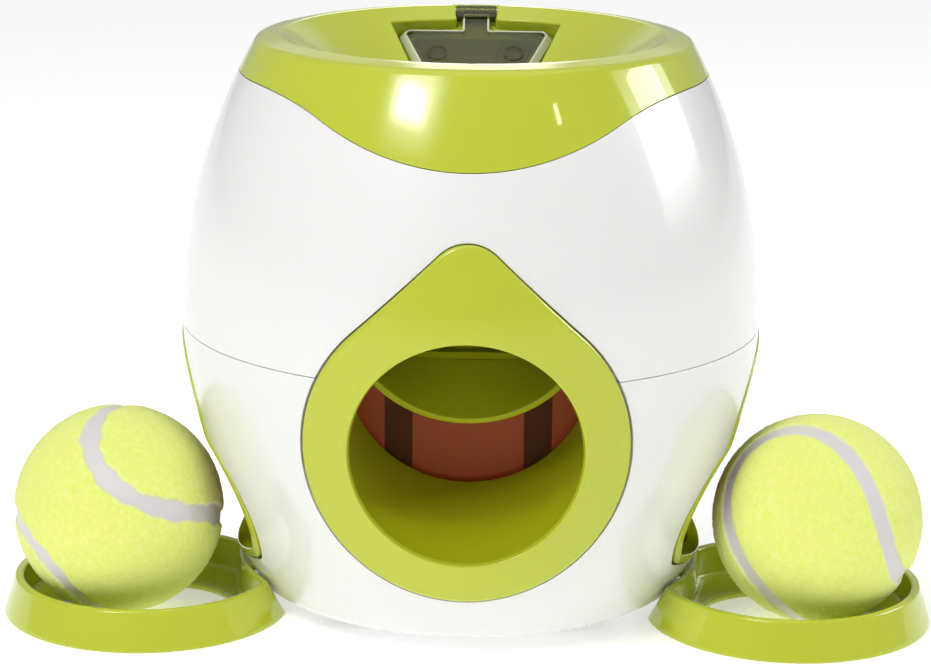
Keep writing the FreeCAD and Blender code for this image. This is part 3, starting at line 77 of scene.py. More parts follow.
# Front trim: a drop around the treat opening.
DROP_R, DROP_Z, DROP_SIDE, DROP_TIP = 48.6, 68.0, 43.5, 12.0
HOLE_R, HOLE_Z = 34.7, 67.3
PROUD, TRIM_EDGE, TRIM_LIP, TRIM_DEEP = 1.2, 1.3, 0.5, 2.0

# Doorways at the sides and their frames.
SILL_Z, SILL_BOW, DOOR_HALF, DOOR_SOFT = 17.0, 6.0, 38.0, 3.2
DOOR_HEAD_R, DOOR_HEAD_Z, DOOR_BULGE, DOOR_TURN = 34.0, 49.5, 9.6, 12.0
DOOR_TRIM, DOOR_PROUD, DOOR_EDGE, DOOR_DEEP = 2.4, 0.4, 0.5, 4.1
REVEAL_TURN = 0.55      # faces of a frame count as its reveal, which gets the painted shade, below this share of facing outward

# Cup and spout behind the treat opening, and the slots of the guide behind them, with dark sheets
# in the slots that are painted shade.
CUP_BACK_Y, CUP_BACK_R, CUP_BACK_Z, CUP_TOP = -40.0, 37.5, 83.5, 80.0
CUP_PLAY, CUP_INSET, CUP_WALL = 0.3, 0.75, 2.0
SPOUT_LIP_Y, SPOUT_LIP_Z, SPOUT_LIP_R = -58.0, 71.4, 37.0
SPOUT_BACK_Y, SPOUT_BACK_Z, SPOUT_BACK_BOW, SPOUT_HALF = -42.6, 85.1, 1.4, 27.0
SLOT_SHADE_Y, SLOT_NEAR, SLOT_FAR, SLOT_LOW, SLOT_TOP = -36.2, 16.8, 25.7, 40.2, 90.0
SHADE_WALL = 1.2

# Lid and its recess, in the lid's own plane: X across and V up the slope, from the hinge.
HINGE_Y, HINGE_Z = 58.0, 176.0
RECESS_RING, RECESS_SINK = 53.2, 2.0    # the far edge runs level, along a circle round the axis
RECESS_LOW, RECESS_DIP, RECESS_WIDE, RECESS_NARROW = -27.0, 3.0, 27.2, 19.7
RECESS_WALL, RECESS_ROLL, RECESS_SOFT, RECESS_PLAY, SEAT_DROP = 1.2, 0.7, 1.2, 0.06, 1.2
NECK_SLOT, HEAD_SLOT, HEAD_SLOT_LOW, HEAD_SLOT_TOP = 6.2, 6.5, -3.6, 1.4
LID_TOP, LID_LOW, LID_WIDE, LID_NARROW = -9.4, -25.8, 23.6, 16.6
LID_CORNERS = (2.0, 2.0, 1.6, 0.5, 0.3, 0.3, 0.5, 1.6)
LID_INSET, LID_RISE, LID_WALL = 0.6, 0.6, 2.0       # the smoked plate inside the clear edge
NECK_HALF, NECK_TOP = 4.0, -2.4
HEAD_HALF, HEAD_LOW, HEAD_TOP, HEAD_RISE, HEAD_WALL = 6.1, -3.5, 1.2, 1.2, 2.9
BOSS_X, BOSS_V, BOSS_OUT, BOSS_IN, BOSS_RISE, BOSS_WALL = 12.2, -19.4, 3.1, 2.7, 1.0, 0.6
LEDGE_RISE, LEDGE_WALL, LEDGE_LAP, LEDGE_REACH = -2.6, 5.0, 0.3, 0.8
MOUTH_SIDE, MOUTH_TOP, MOUTH_LOW, MOUTH_ROUND = 1.6, 1.2, 2.0, 2.0      # in from the lid's edges
HINGE_FLOOR_HALF, HINGE_FLOOR_LOW, HINGE_FLOOR_TOP = 7.5, -4.0, 3.4
HINGE_FLOOR_RISE, HINGE_FLOOR_WALL = -2.9, 3.0
LID_RIM = (             # the clear edge's section: outward, up and further out at slanting sides
    (-0.45, 0.45, 0), (-0.3, 0.66, 0), (0.0, 0.7, 0), (0.25, 0.55, 0.1), (0.7, -1.3, 1.2),
    (0.5, -1.5, 1.2), (-0.45, -1.5, 0),
)

# Trays: dishes with an open well, which follow the housing at a small gap.
TRAY_X, TRAY_Y = 100.0, -26.0
TRAY_R, TRAY_CREST, TRAY_INNER = 44.2, 40.8, 38.0
TRAY_HIGH, TRAY_FLOOR, TRAY_FOOT = 12.2, 2.0, 0.5
TRAY_GAP, TRAY_LIP, TRAY_LIP_RISE, TRAY_FILLET = 0.8, 2.0, 0.9, 1.5
TRAY_ROUND = ((0.5, 0.3, 0.0), (0.12, 0.08, 0.15))      # the foot's section: in, from the gap, up
TAB = ((63.5, -21.0), (70.6, -21.0), (71.6, -5.0), (63.5, -5.0))
TAB_TOP, TAB_WALL = 12.0, 1.8
WELL_X, WELL_Y, WELL_R = 95.0, -31.0, 21.8
WELL_EDGE = (           # the well's section: outward, down
    (0.7, 0.0), (0.25, 0.12), (0.05, 0.35), (0.0, 0.7), (0.0, 1.3), (0.3, 2.0),
)

# Balls: the felt stands out from the seam, and its nap makes the outline uneven.
BALL_R, SEAM_SINK, FELT_RISE, FELT_BLEND, NAP = 32.5, 1.15, 0.85, 0.9, 0.10
SEAM_WIDE, SEAM_NARROW = 0.76, 0.24     # they add up to the radius of a unit sphere

UPPER_ARC = ((R_WIDE - CREST_R) ** 2 - LIP_ROUND ** 2 + (CREST_Z - SEAM_Z - LIP_ROUND) ** 2) / (
    2 * (R_WIDE - CREST_R - LIP_ROUND))
LOWER_ARC = ((R_WIDE - FOOT_R) ** 2 + (SEAM_Z - FOOT_Z) ** 2) / (2 * (R_WIDE - FOOT_R))

BALL_GRID = 96          # faces along each of the six sides that a ball is made from
FINE = 0.1              # spacing of points along the profiles
BORDER_ROOM = 0.55      # a surface's inner points keep this share of their spacing from its border
TURN_POINTS = 240       # points round the housing
SETTLE = 30             # rounds of the sums that settle on a value


# ---------------- lines and outlines
def stacked(*parts):
    """Points from their X, Y and, if there is one, Z values."""
    return np.stack(parts, -1)


def polar(centre, radius, angles):
    """Points on a circle at angles in degrees."""
    turn = np.radians(angles)
    return stacked(centre[0] + radius * np.cos(turn), centre[1] + radius * np.sin(turn))


def arc(centre, radius, start, end, spacing=1.0):
    """Points along an arc, both ends included."""
    count = max(2, int(abs(math.radians(end - start)) * radius / spacing) + 1)
    return polar(centre, radius, np.linspace(start, end, count))


def line(start, end, spacing=1.0):
    """Points along a straight stretch, both ends included."""
    length = math.dist(start, end)
    count = max(2, int(length / spacing) + 1)
    return np.linspace(start, end, count)


def distances(path):
    """How far along a path each of its points lies."""
    return np.concatenate([[0], np.cumsum(np.linalg.norm(np.diff(path, axis=0), axis=1))])


def joined(*stretches):
    """One line from stretches that meet end to end."""
    parts = [stretches[0]]
    for stretch in stretches[1:]:
        skip = 1 if np.linalg.norm(stretch[0] - parts[-1][-1]) < 1e-6 else 0
        parts.append(stretch[skip:])
    return np.vstack(parts)


def box_corners(half, low, top):
    """The corners of a rectangle that is even about the middle, anticlockwise."""
    return [(-half, low), (half, low), (half, top), (-half, top)]


def slant(start, end):
    """The angle of the way from a start to an end."""
    return math.degrees(math.atan2(end[1] - start[1], end[0] - start[0]))


def rounded(corners, radii, closed=True, spacing=1.0, arc_spacing=0.25):
    """A line through corners, each rounded by its own radius."""
    corners = [np.array(corner, float) for corner in corners]
    count = len(corners)
    if np.isscalar(radii):
        radii = [radii] * count
    stretches, ends = [], []
    for index, (here, radius) in enumerate(zip(corners, radii)):
        if not closed and index in (0, count - 1) or radius == 0:
            ends.append((here, here, None))
            continue
        back = corners[index - 1] - here
        onward = corners[(index + 1) % count] - here
        back /= np.linalg.norm(back)
        onward /= np.linalg.norm(onward)
        half = math.acos(np.clip(back @ onward, -1, 1)) / 2
        centre = here + (back + onward) / np.linalg.norm(back + onward) * radius / math.sin(half)
        start = here + back * radius / math.tan(half)
        end = here + onward * radius / math.tan(half)
        first, last = slant(centre, start), slant(centre, end)
        sweep = (last - first + 180) % 360 - 180
        ends.append((start, end, arc(centre, radius, first, first + sweep, arc_spacing)))
    for index in range(count):
        if ends[index][2] is not None:
            stretches.append(ends[index][2])
        if closed or index < count - 1:
            stretches.append(line(ends[index][1], ends[(index + 1) % count][0], spacing))
    path = joined(*stretches)
    if closed and np.linalg.norm(path[0] - path[-1]) < 1e-6:
        path = path[:-1]
    return path


def evened(loop, spacing):
    """A closed loop with its points evenly spaced."""
    ring = np.vstack([loop, loop[:1]])
    along = distances(ring)
    count = int(round(along[-1] / spacing))
    marks = np.linspace(0, along[-1], count, endpoint=False)
    return np.stack([np.interp(marks, along, ring[:, axis]) for axis in range(ring.shape[1])], -1)


def softened(loop, reach, spacing=0.5):
    """A closed loop with its corners rounded off over a reach on each side."""
    even = evened(loop, spacing)
    width = int(reach / spacing)
    weights = np.hanning(2 * width + 3)[1:-1]
    weights /= weights.sum()
    shifts = range(-width, width + 1)
    return sum(weight * np.roll(even, shift, axis=0) for weight, shift in zip(weights, shifts))


# ---------------- skins: points, normals and faces
class Skin:
    """A surface: points in millimetres, normals there, and faces that turn left from outside."""

    def __init__(self, points, normals, faces):
        self.points = np.asarray(points, float)
        self.normals = np.asarray(normals, float)
        self.faces = [tuple(int(corner) for corner in face) for face in faces]

    def faced(self):
        """Turns the faces so that they agree with the normals."""
        turned = []
        for face in self.faces:
            a, b, c = (self.points[corner] for corner in face[:3])
            agrees = np.cross(b - a, c - a) @ self.normals[list(face)].sum(0) >= 0
            turned.append(face if agrees else face[::-1])
        self.faces = turned
        return self

    def welded(self, reach=1e-3):
        """Joins points that lie in the same place."""
        keys = np.round(self.points / reach).astype(np.int64)
        _, first, which = np.unique(keys, axis=0, return_index=True, return_inverse=True)
        which = which.ravel()
        faces = []
        for face in self.faces:
            corners = list(dict.fromkeys(which[list(face)].tolist()))
            if len(corners) > 2:
                faces.append(tuple(corners))
        return Skin(self.points[first], self.normals[first], faces)


def along_slope(place, uv, step=0.2):
    """Points of a surface and the way it faces, from the slope between neighbouring places."""
    u, v = uv[:, 0], uv[:, 1]
    across = place(u + step, v) - place(u - step, v)
    upward = place(u, v + step) - place(u, v - step)
    normals = np.cross(across, upward)
    normals /= np.linalg.norm(normals, axis=1)[:, None]
    return place(u, v), normals


def inside(points, loop):
    """Which points lie inside a closed loop."""
    found = np.zeros(len(points), bool)
    x, y = points[:, 0], points[:, 1]
    for (x1, y1), (x2, y2) in zip(loop, np.roll(loop, -1, axis=0)):
        if y1 == y2:
            continue
        crosses = (y1 > y) != (y2 > y)
        found ^= crosses & (x < (x2 - x1) * (y - y1) / (y2 - y1) + x1)
    return found


def tree_of(points):
    """A search tree that finds the nearest of some points."""
    tree = KDTree(len(points))
    for index, point in enumerate(points):
        tree.insert(point, index)
    tree.balance()
    return tree


def filled(place, outline, holes=(), spacing=2.5):
    """A skin on a surface, inside an outline and outside holes, given in the surface's plane."""
    loops = [np.asarray(loop, float) for loop in (outline, *holes)]
    border = np.vstack(loops)
    edges, start = [], 0
    for loop in loops:
        count = len(loop)
        edges += [(start + index, start + (index + 1) % count) for index in range(count)]
        start += count

    def kept(spots):
        found = inside(spots, loops[0])
        for hole in loops[1:]:
            found &= ~inside(spots, hole)
        return found
    ticks = [np.linspace(low, high, max(2, int((high - low) / spacing)))[1:-1]
             for low, high in zip(loops[0].min(0), loops[0].max(0))]
    grid = np.stack(np.meshgrid(*ticks), -1).reshape(-1, 2)
    grid = grid[kept(grid)]
    tree = tree_of([(*point, 0) for point in border])
    clear = [tree.find((*point, 0))[2] > BORDER_ROOM * spacing for point in grid]
    flat = [Vector(point) for point in np.vstack([border, grid[np.array(clear, bool)]])]
    made = delaunay_2d_cdt(flat, edges, [], 0, 1e-7)
    uv = np.array([tuple(point) for point in made[0]])
    middles = np.array([uv[list(face)].mean(0) for face in made[2]])
    points, normals = along_slope(place, uv)
    faces = [face for face, keeps in zip(made[2], kept(middles)) if keeps]
    return Skin(points, normals, faces).faced().welded()


def meshed(place, columns, rows, closed=False):
    """A skin on a surface from a grid of places. Closed joins the last column to the first."""
    u, v = np.meshgrid(columns, rows)
    points, normals = along_slope(place, stacked(u.ravel(), v.ravel()))
    return Skin(points, normals, quads(len(rows), len(columns), closed)).faced()


def borders(faces):
    """The loops of edges that have a face on one side only, in the faces' own direction."""
    edges = set()
    for face in faces:
        for start, end in zip(face, face[1:] + face[:1]):
            if (end, start) in edges:
                edges.remove((end, start))
            else:
                edges.add((start, end))
    onward, loops = dict(edges), []
    while onward:
        start = next(iter(onward))
        loop = [start]
        step = onward.pop(start)
        while step != start:
            loop.append(step)
            step = onward.pop(step)
        loops.append(loop)
    return loops


def plate(skin, wall, roll, back_roll=0.2, steps=4, hole_roll=None):
    """A closed plate from a skin: its edges roll over, run down and roll under to the back face."""
    count = len(skin.points)
    points = [skin.points, skin.points - skin.normals * wall]
    normals = [skin.normals, -skin.normals]
    faces = list(skin.faces)
    faces += [tuple(corner + count for corner in reversed(face)) for face in skin.faces]
    total = 2 * count
    back = points[1]
    bends = np.radians(np.linspace(0, 90, steps + 1)[1:])
    back_bends = np.radians([0, 45])
    loops = sorted(borders(skin.faces), key=lambda loop: -np.ptp(skin.points[loop], axis=0).max())
    for loop in loops:
        if loop is not loops[0] and hole_roll is not None:
            roll = hole_roll
        ring = skin.points[loop]
        up = skin.normals[loop]
        onward = np.roll(ring, -1, axis=0) - np.roll(ring, 1, axis=0)
        out = np.cross(onward, up)
        out /= np.linalg.norm(out, axis=1)[:, None]
        back[loop] = ring + out * (roll - back_roll) - up * wall
        rows = [np.array(loop)]
        section = [(roll * math.sin(t), roll * (1 - math.cos(t)), math.sin(t), math.cos(t))
                   for t in bends]
        section += [(roll - back_roll * (1 - math.cos(t)), wall - back_roll * (1 - math.sin(t)),
                     math.cos(t), -math.sin(t)) for t in back_bends]
        for outward, down, side, face_up in section:
            points.append(ring + out * outward - up * down)
            normals.append(out * side + up * face_up)
            rows.append(np.arange(total, total + len(loop)))
            total += len(loop)
        rows.append(np.array(loop) + count)
        for upper, lower in zip(rows, rows[1:]):
            for index in range(len(loop)):
                after = (index + 1) % len(loop)
                faces.append((upper[after], upper[index], lower[index], lower[after]))
    return Skin(np.vstack(points), np.vstack(normals), faces)


def quads(rows, columns, closed):
    """The four-cornered faces of a grid of points. Closed joins the last column to the first."""
    faces = []
    for row in range(rows - 1):
        for column in range(columns if closed else columns - 1):
            a, b = row * columns + column, row * columns + (column + 1) % columns
            faces.append((a, b, b + columns, a + columns))
    return faces


def banded(rings):
    """A skin from rings of points with the same count, with normals worked out from its faces."""
    points = np.vstack(rings)
    faces = quads(len(rings), len(rings[0]), True)
    return Skin(points, weighed(points, faces), faces)


def weighed(points, faces):
    """Normals at the points, each face counted by its area."""
    normals = np.zeros_like(points)
    for face in faces:
        a = points[face[0]]
        for second, third in zip(face[1:-1], face[2:]):
            area = np.cross(points[second] - a, points[third] - a)
            for corner in (face[0], second, third):
                normals[corner] += area
    lengths = np.linalg.norm(normals, axis=1)
    lengths[lengths == 0] = 1
    return normals / lengths[:, None]


def merged(*skins):
    """One skin from several that stay apart."""
    faces, total = [], 0
    for skin in skins:
        faces += [tuple(corner + total for corner in face) for face in skin.faces]
        total += len(skin.points)
    points = np.vstack([skin.points for skin in skins])
    return Skin(points, np.vstack([skin.normals for skin in skins]), faces)


def both_sides(skin):
    """A skin of the right side and its mirror image, each with the name of its side."""
    flip = np.array([-1, 1, 1])
    left = Skin(skin.points * flip, skin.normals * flip, [face[::-1] for face in skin.faces])
    return ("right", skin), ("left", left)


def placed(name, data):
    """A new object in the scene."""
    made = bpy.data.objects.new(name, data)
    bpy.context.scene.collection.objects.link(made)
    return made


def piece(name, skin, material, body, replaces=(), inner=None, lies_inner=None):
    """A Blender object from a skin, on a body. Faces that lie inner get a second material."""
    mesh = bpy.data.meshes.new(name)
    mesh.from_pydata((skin.points * MM).tolist(), [], skin.faces)
    mesh.validate()
    mesh.polygons.foreach_set("use_smooth", [True] * len(mesh.polygons))
    mesh.normals_split_custom_set_from_vertices(skin.normals.tolist())
    mesh.materials.append(material)
    if inner:
        mesh.materials.append(inner)
        for face in mesh.polygons:
            face.material_index = int(lies_inner(np.array(face.center) / MM, np.array(face.normal)))
    made = placed(name, mesh)
    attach(made, body)
    if replaces:
        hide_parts(*replaces)
    return made


def green(name, skin, material, *replaces):
    """A green piece of the housing."""
    return piece(name, skin, material, "machine", replaces)


# ---------------- materials
class Graph:
    """A short way to write the nodes of a material or a light."""

    def __init__(self, owner, shader="Principled BSDF"):
        owner.use_nodes = True
        self.owner = owner
        self.nodes, self.links = owner.node_tree.nodes, owner.node_tree.links
        self.shader = self.nodes[shader]

    def node(self, kind, **values):
        made = self.nodes.new(kind)
        for name, value in values.items():
            if hasattr(made, name):
                setattr(made, name, value)
            else:
                made.inputs[name.replace("_", " ")].default_value = value
        return made

    def link(self, source, target):
        self.links.new(source, target)

    def feed(self, source, name):
        """Links a source to an input of the shader."""
        self.link(source, self.shader.inputs[name])

    def set(self, **values):
        for name, value in values.items():
            self.shader.inputs[name.replace("_", " ")].default_value = value

    def noise(self, scale, detail=3.0, roughness=0.5):
        """Noise on the object's own place, with a scale in cycles per metre."""
        place = self.node("ShaderNodeTexCoord")
        made = self.node("ShaderNodeTexNoise", Scale=scale, Detail=detail, Roughness=roughness)
        self.link(place.outputs["Object"], made.inputs["Vector"])
        return made.outputs["Fac"]

    def ramp(self, source, low, high, start=0.35, end=0.65):
        """Maps a source to values or colours between two ends."""
        made = self.node("ShaderNodeMapRange",
                         From_Min=start, From_Max=end, To_Min=low, To_Max=high)
        self.link(source, made.inputs["Value"])
        return made.outputs["Result"]

    def mix(self, share, first, second):
        """A colour between two, each a colour or a socket, by a share from a socket."""
        made = self.node("ShaderNodeMix", data_type="RGBA")
        self.link(share, made.inputs[0])
        for socket, value in ((made.inputs[6], first), (made.inputs[7], second)):
            if isinstance(value, tuple):
                socket.default_value = (*value[:3], 1)
            else:
                self.link(value, socket)
        return made.outputs[2]

    def paint(self, source, first, second):
        """The shader's colour, clouded between two colours by a source."""
        self.feed(self.mix(self.ramp(source, 0.0, 1.0), first, second), "Base Color")

    def bump(self, height, strength, distance, base=None):
        """Bumps the surface by a height source; distance is in metres."""
        made = self.node("ShaderNodeBump", Strength=strength, Distance=distance)
        self.link(height, made.inputs["Height"])
        if base is not None:
            self.link(base, made.inputs["Normal"])
        return made.outputs["Normal"]


def moulded(name, colour, deeper, roughness=0.3, coat=1.0, bump=0.05, specular=0.5, subsurface=0.0):
    """Injection-moulded plastic: faint cloudy colour, uneven gloss and a slight moulding ripple."""
    graph = Graph(bpy.data.materials.new(name))
    graph.paint(graph.noise(14.0, 2.0), colour, deeper)
    smear = graph.ramp(graph.noise(40.0, 2.0, 0.5), roughness * 0.92, roughness * 1.1)
    graph.feed(smear, "Roughness")
    ripple = graph.bump(graph.noise(16.0, 0.0), bump, 0.0006)
    grain = graph.bump(graph.noise(3000.0, 2.0), bump * 0.5, 0.00002, ripple)
    graph.feed(grain, "Normal")
    graph.set(Coat_Weight=coat, Coat_Roughness=0.035, IOR=1.48, Specular_IOR_Level=specular)
    if subsurface:
        graph.set(Subsurface_Weight=subsurface, Subsurface_Scale=0.002,
                  Subsurface_Radius=(1.0, 0.9, 0.4))
    return graph.owner


def metal(name, colour, roughness):
    """Turned steel: bright, with fine uneven polish."""
    graph = Graph(bpy.data.materials.new(name))
    polish = graph.noise(900.0, 4.0)
    graph.paint(polish, colour, tuple(part * 0.82 for part in colour))
    smear = graph.ramp(polish, roughness * 0.7, roughness * 1.5)
    graph.feed(smear, "Roughness")
    graph.feed(graph.bump(polish, 0.2, 0.00002), "Normal")
    graph.set(Metallic=1.0)
    return graph.owner


def smoked(name):
    """Clear smoked plastic: light passes through it, darkened, and its edges stay bright."""
    graph = Graph(bpy.data.materials.new(name))
    graph.paint(graph.noise(60.0, 2.0), (0.46, 0.46, 0.065), (0.42, 0.43, 0.05))
    graph.feed(graph.ramp(graph.noise(120.0, 3.0), 0.03, 0.09), "Roughness")
    graph.feed(graph.bump(graph.noise(70.0, 1.0), 0.08, 0.0004), "Normal")
    graph.set(Transmission_Weight=1.0, IOR=1.49, Specular_IOR_Level=0.3)
    return graph.owner


def rubber(name):
    """Matt dusty rubber."""
    graph = Graph(bpy.data.materials.new(name))
    dust = graph.noise(260.0, 5.0)
    graph.paint(dust, (0.030, 0.030, 0.032), (0.055, 0.054, 0.052))
    graph.feed(graph.ramp(dust, 0.65, 0.85), "Roughness")
    graph.feed(graph.bump(graph.noise(1800.0, 2.0), 0.3, 0.0001), "Normal")
    return graph.owner


def felt(name, seam_colour):
    """Ball felt: pale nap over a deeper colour, with a smooth rubber seam."""
    graph = Graph(bpy.data.materials.new(name))
    seam = graph.node("ShaderNodeAttribute", attribute_name="seam").outputs["Fac"]
    nap = graph.noise(620.0, 6.0, 0.7)
    clouds = graph.noise(70.0, 3.0)
    fur = graph.mix(graph.ramp(nap, 0.0, 1.0, 0.3, 0.7), (0.80, 0.93, 0.16), (0.93, 0.98, 0.34))
    fur = graph.mix(graph.ramp(clouds, 0.0, 0.3), fur, (0.86, 0.96, 0.22))
    graph.feed(graph.mix(seam, fur, seam_colour), "Base Color")
    strands = graph.noise(1500.0, 3.0, 0.8)
    height = graph.node("ShaderNodeMath", operation="MULTIPLY_ADD")
    graph.link(strands, height.inputs[0])
    graph.link(graph.ramp(seam, 1.0, 0.06, 0.0, 1.0), height.inputs[1])
    height.inputs[2].default_value = 0.0
    graph.feed(graph.bump(height.outputs[0], 0.35, 0.0006), "Normal")
    graph.feed(graph.ramp(seam, 0.95, 0.5, 0.0, 1.0), "Roughness")
    graph.set(Sheen_Weight=0.35, Sheen_Roughness=0.4, Sheen_Tint=(0.95, 1.0, 0.5, 1.0))
    graph.set(Subsurface_Weight=0.5, Subsurface_Scale=0.009, Subsurface_Radius=(1.0, 1.0, 0.4))
    return graph.owner


GREEN = moulded("green_plastic", (0.535, 0.60, 0.035), (0.52, 0.585, 0.032), specular=0.12)
# A darker, duller green for the parts inside the housing: its lower gloss is a finish, its darker
# colour is painted shade.
INNER_GREEN_PAINTED_SHADOW = moulded("green_inside_painted_shadow", (0.44, 0.485, 0.010), (0.42, 0.465, 0.008),
                      roughness=0.36, coat=0.2, specular=0.15)
WHITE = moulded("white_plastic", (0.875, 0.872, 0.865), (0.868, 0.865, 0.857),
                bump=0.03, subsurface=0.03)
# A darker green with no gloss: painted shade on the doorways' reveals and the treat slide.
DARK_GREEN_PAINTED_SHADOW = moulded("green_painted_shadow", (0.30, 0.335, 0.006), (0.28, 0.315, 0.005),
                 roughness=0.6, coat=0.0, specular=0.0)
ORANGE = moulded("orange_plastic", (0.50, 0.085, 0.015), (0.46, 0.075, 0.013),
                 roughness=0.45, coat=0.05, specular=0.2)
DARK = moulded("dark_plastic", (0.045, 0.045, 0.048), (0.035, 0.035, 0.037),
               roughness=0.45, coat=0.05)
STEEL = metal("steel", (0.66, 0.66, 0.67), 0.22)
RUBBER = rubber("foot_rubber")
SMOKED = smoked("smoked_clear")
# Opaque pale plastic for the lid's clear edge: the pale colour is painted highlight.
LID_EDGE_PAINTED_HIGHLIGHT = moulded("clear_edge_painted_highlight", (0.74, 0.75, 0.60), (0.66, 0.67, 0.52), roughness=0.15)
# Dark brown for the sheets in the guide's slots: painted shade.
SLOT_PAINTED_SHADE = moulded("slot_painted_shade", (0.13, 0.042, 0.014), (0.11, 0.036, 0.013),
                roughness=0.6, coat=0.0, specular=0.1)
FELT = felt("ball_felt", (0.73, 0.71, 0.72))


# ---------------- the barrel
class Profile:
    """A line of (radius, height) points, read by the distance along it."""

    def __init__(self, *stretches):
        self.points = joined(*stretches)
        self.along = distances(self.points)
        self.length = self.along[-1]

    def radius(self, v):
        return np.interp(v, self.along, self.points[:, 0])

    def height(self, v):
        return np.interp(v, self.along, self.points[:, 1])


def turned(profile, unit):
    """The surface that a profile sweeps round Z. Its u is an angle times the unit radius."""
    def place(u, v):
        radius, turn = profile.radius(v), u / unit
        return stacked(radius * np.sin(turn), -radius * np.cos(turn), profile.height(v))
    return place


def barrel_radius(z, inset=0.0):
    """Radius of the housing at a height, less an inset square to the surface."""
    bend = np.where(z > SEAM_Z, UPPER_ARC, LOWER_ARC)
    return R_WIDE - bend + np.sqrt((bend - inset) ** 2 - (z - SEAM_Z) ** 2)


def side_point(z, inset=0.0):
    """The point of the housing's section at a height on its side."""
    return float(barrel_radius(z, inset)), z


def arc_angle(z, bend):
    return math.degrees(math.asin((z - SEAM_Z) / bend))


def housing_profile():
    """The housing's section, from the ledge under its foot to above the wavy edge."""
    side_z = FOOT_Z + FOOT_ROUND / 2
    round_r = side_point(side_z)[0] - FOOT_ROUND * math.sin(math.radians(FOOT_TURN))
    return Profile(
        line((LEDGE_R, FOOT_Z), (round_r, FOOT_Z), FINE),
        arc((round_r, FOOT_Z + FOOT_ROUND), FOOT_ROUND, -90, FOOT_TURN - 90, FINE),
        arc((R_WIDE - LOWER_ARC, SEAM_Z), LOWER_ARC, arc_angle(side_z, LOWER_ARC), 0, FINE),
        arc((R_WIDE - UPPER_ARC, SEAM_Z), UPPER_ARC, 0, arc_angle(WAVE_HIGH + 2, UPPER_ARC), FINE),
    )


HOUSING = housing_profile()
SIDE_START = HOUSING.along[np.argmin(np.abs(HOUSING.points[:, 1] - FOOT_Z - FOOT_ROUND / 2))]
HALF_TURN = math.pi * R_WIDE
RING_U = np.linspace(-HALF_TURN, HALF_TURN, TURN_POINTS + 1)
on_housing = turned(HOUSING, R_WIDE)


def housing_v(z):
    """Distance along the housing's profile at a height on its side."""
    side = HOUSING.along >= SIDE_START
    return np.interp(z, HOUSING.points[side, 1], HOUSING.along[side])


def housing_front(loop):
    """An outline in the XZ plane, laid on the front of the housing."""
    x, z = loop[:, 0], loop[:, 1]
    return stacked(R_WIDE * np.arcsin(x / barrel_radius(z)), housing_v(z))


def housing_side(loop, side):
    """An outline in the YZ plane, laid on the right or left of the housing."""
    y, z = loop[:, 0], loop[:, 1]
    turn = side * (math.pi / 2 + np.arcsin(y / barrel_radius(z)))
    return stacked(R_WIDE * turn, housing_v(z))


# ---------------- outlines of the openings
def bowed(start, end, bow):
    """An arc that turns left from a start to an end and leaves the straight line by a bow."""
    start, end = np.array(start, float), np.array(end, float)
    half = np.linalg.norm(end - start) / 2
    bend = (half ** 2 + bow ** 2) / (2 * bow)
    onward = (end - start) / (2 * half)
    centre = (start + end) / 2 + np.array([-onward[1], onward[0]]) * (bend - bow)
    middle = math.degrees(math.atan2(-onward[0], onward[1]))
    sweep = math.degrees(math.asin(half / bend))
    return arc(centre, bend, middle - sweep, middle + sweep)


def drop_lower(grow, top):
    """The round lower part of the drop, clockwise from a height on the right to it on the left."""
    radius = DROP_R + grow
    start = math.degrees(math.asin((top - DROP_Z) / radius))
    return arc((0, DROP_Z), radius, start, -180 - start)


def drop_upper(grow, bottom):
    """The rest of the drop, anticlockwise from a height on the right to it on the left."""
    radius, tip = DROP_R + grow, DROP_TIP + grow
    tip_z = DROP_Z + (DROP_R - DROP_TIP) / math.cos(math.radians(DROP_SIDE))
    start = math.degrees(math.asin((bottom - DROP_Z) / radius))
    side = 90 - DROP_SIDE
    right = arc((0, DROP_Z), radius, start, side)
    crown = arc((0, tip_z), tip, side, 180 - side, 0.5)
    left = arc((0, DROP_Z), radius, 180 - side, 180 - start)
    return joined(right, line(right[-1], crown[0]), crown, line(crown[-1], left[0]), left)


def drop_outline(grow):
    """The whole drop, anticlockwise."""
    return np.vstack([drop_upper(grow, DROP_Z), drop_lower(grow, DROP_Z)[::-1][1:-1]])


def door_outline(grow):
    """A doorway: bowed sill, bulging sides and round head, anticlockwise in the YZ plane."""
    half, head, low = DOOR_HALF + grow, DOOR_HEAD_R + grow, SILL_Z - grow
    sill = bowed((-half, low + SILL_BOW), (half, low + SILL_BOW), SILL_BOW)
    crown = arc((0, DOOR_HEAD_Z), head, DOOR_TURN, 180 - DOOR_TURN)
    right = bowed(sill[-1], crown[0], DOOR_BULGE)
    left = bowed(crown[-1], sill[0], DOOR_BULGE)
    return softened(joined(sill, right, crown, left[:-1]), DOOR_SOFT)


def wave(x, drop=0.0):
    """Height of the wavy edge at a distance from the middle."""
    rise = WAVE_HIGH - WAVE_LOW
    angle = 2 * math.atan(rise / WAVE_RUN)
    total = WAVE_RUN / math.sin(angle)
    middle, outer = WAVE_SHARE * total, (1 - WAVE_SHARE) * total
    x = np.abs(x)
    near = WAVE_LOW + middle - np.sqrt(np.maximum(middle ** 2 - x ** 2, 0))
    far = WAVE_HIGH - outer + np.sqrt(np.maximum(outer ** 2 - (WAVE_RUN - x) ** 2, 0))
    far = np.where(x < WAVE_RUN, far, WAVE_HIGH)
    return np.where(x < middle * math.sin(angle), near, far) - drop


def wave_heights(angles, drop=0.0):
    """Height of the wavy edge at angles round the housing, in radians from the front."""
    z = np.full(len(angles), WAVE_LOW)
    for _ in range(SETTLE):
        z = 0.5 * z + 0.5 * wave(barrel_radius(z) * np.sin(angles), drop)
    return z


# ---------------- white shells
def notched(path, notch):
    """A line along u with its middle replaced by a notch that runs the same way."""
    if notch is None:
        return path
    way = np.sign(notch[-1][0] - notch[0][0])
    before = path[way * path[:, 0] < way * notch[0][0] - 1]
    after = path[way * path[:, 0] > way * notch[-1][0] + 1]
    return np.vstack([before, notch, after])


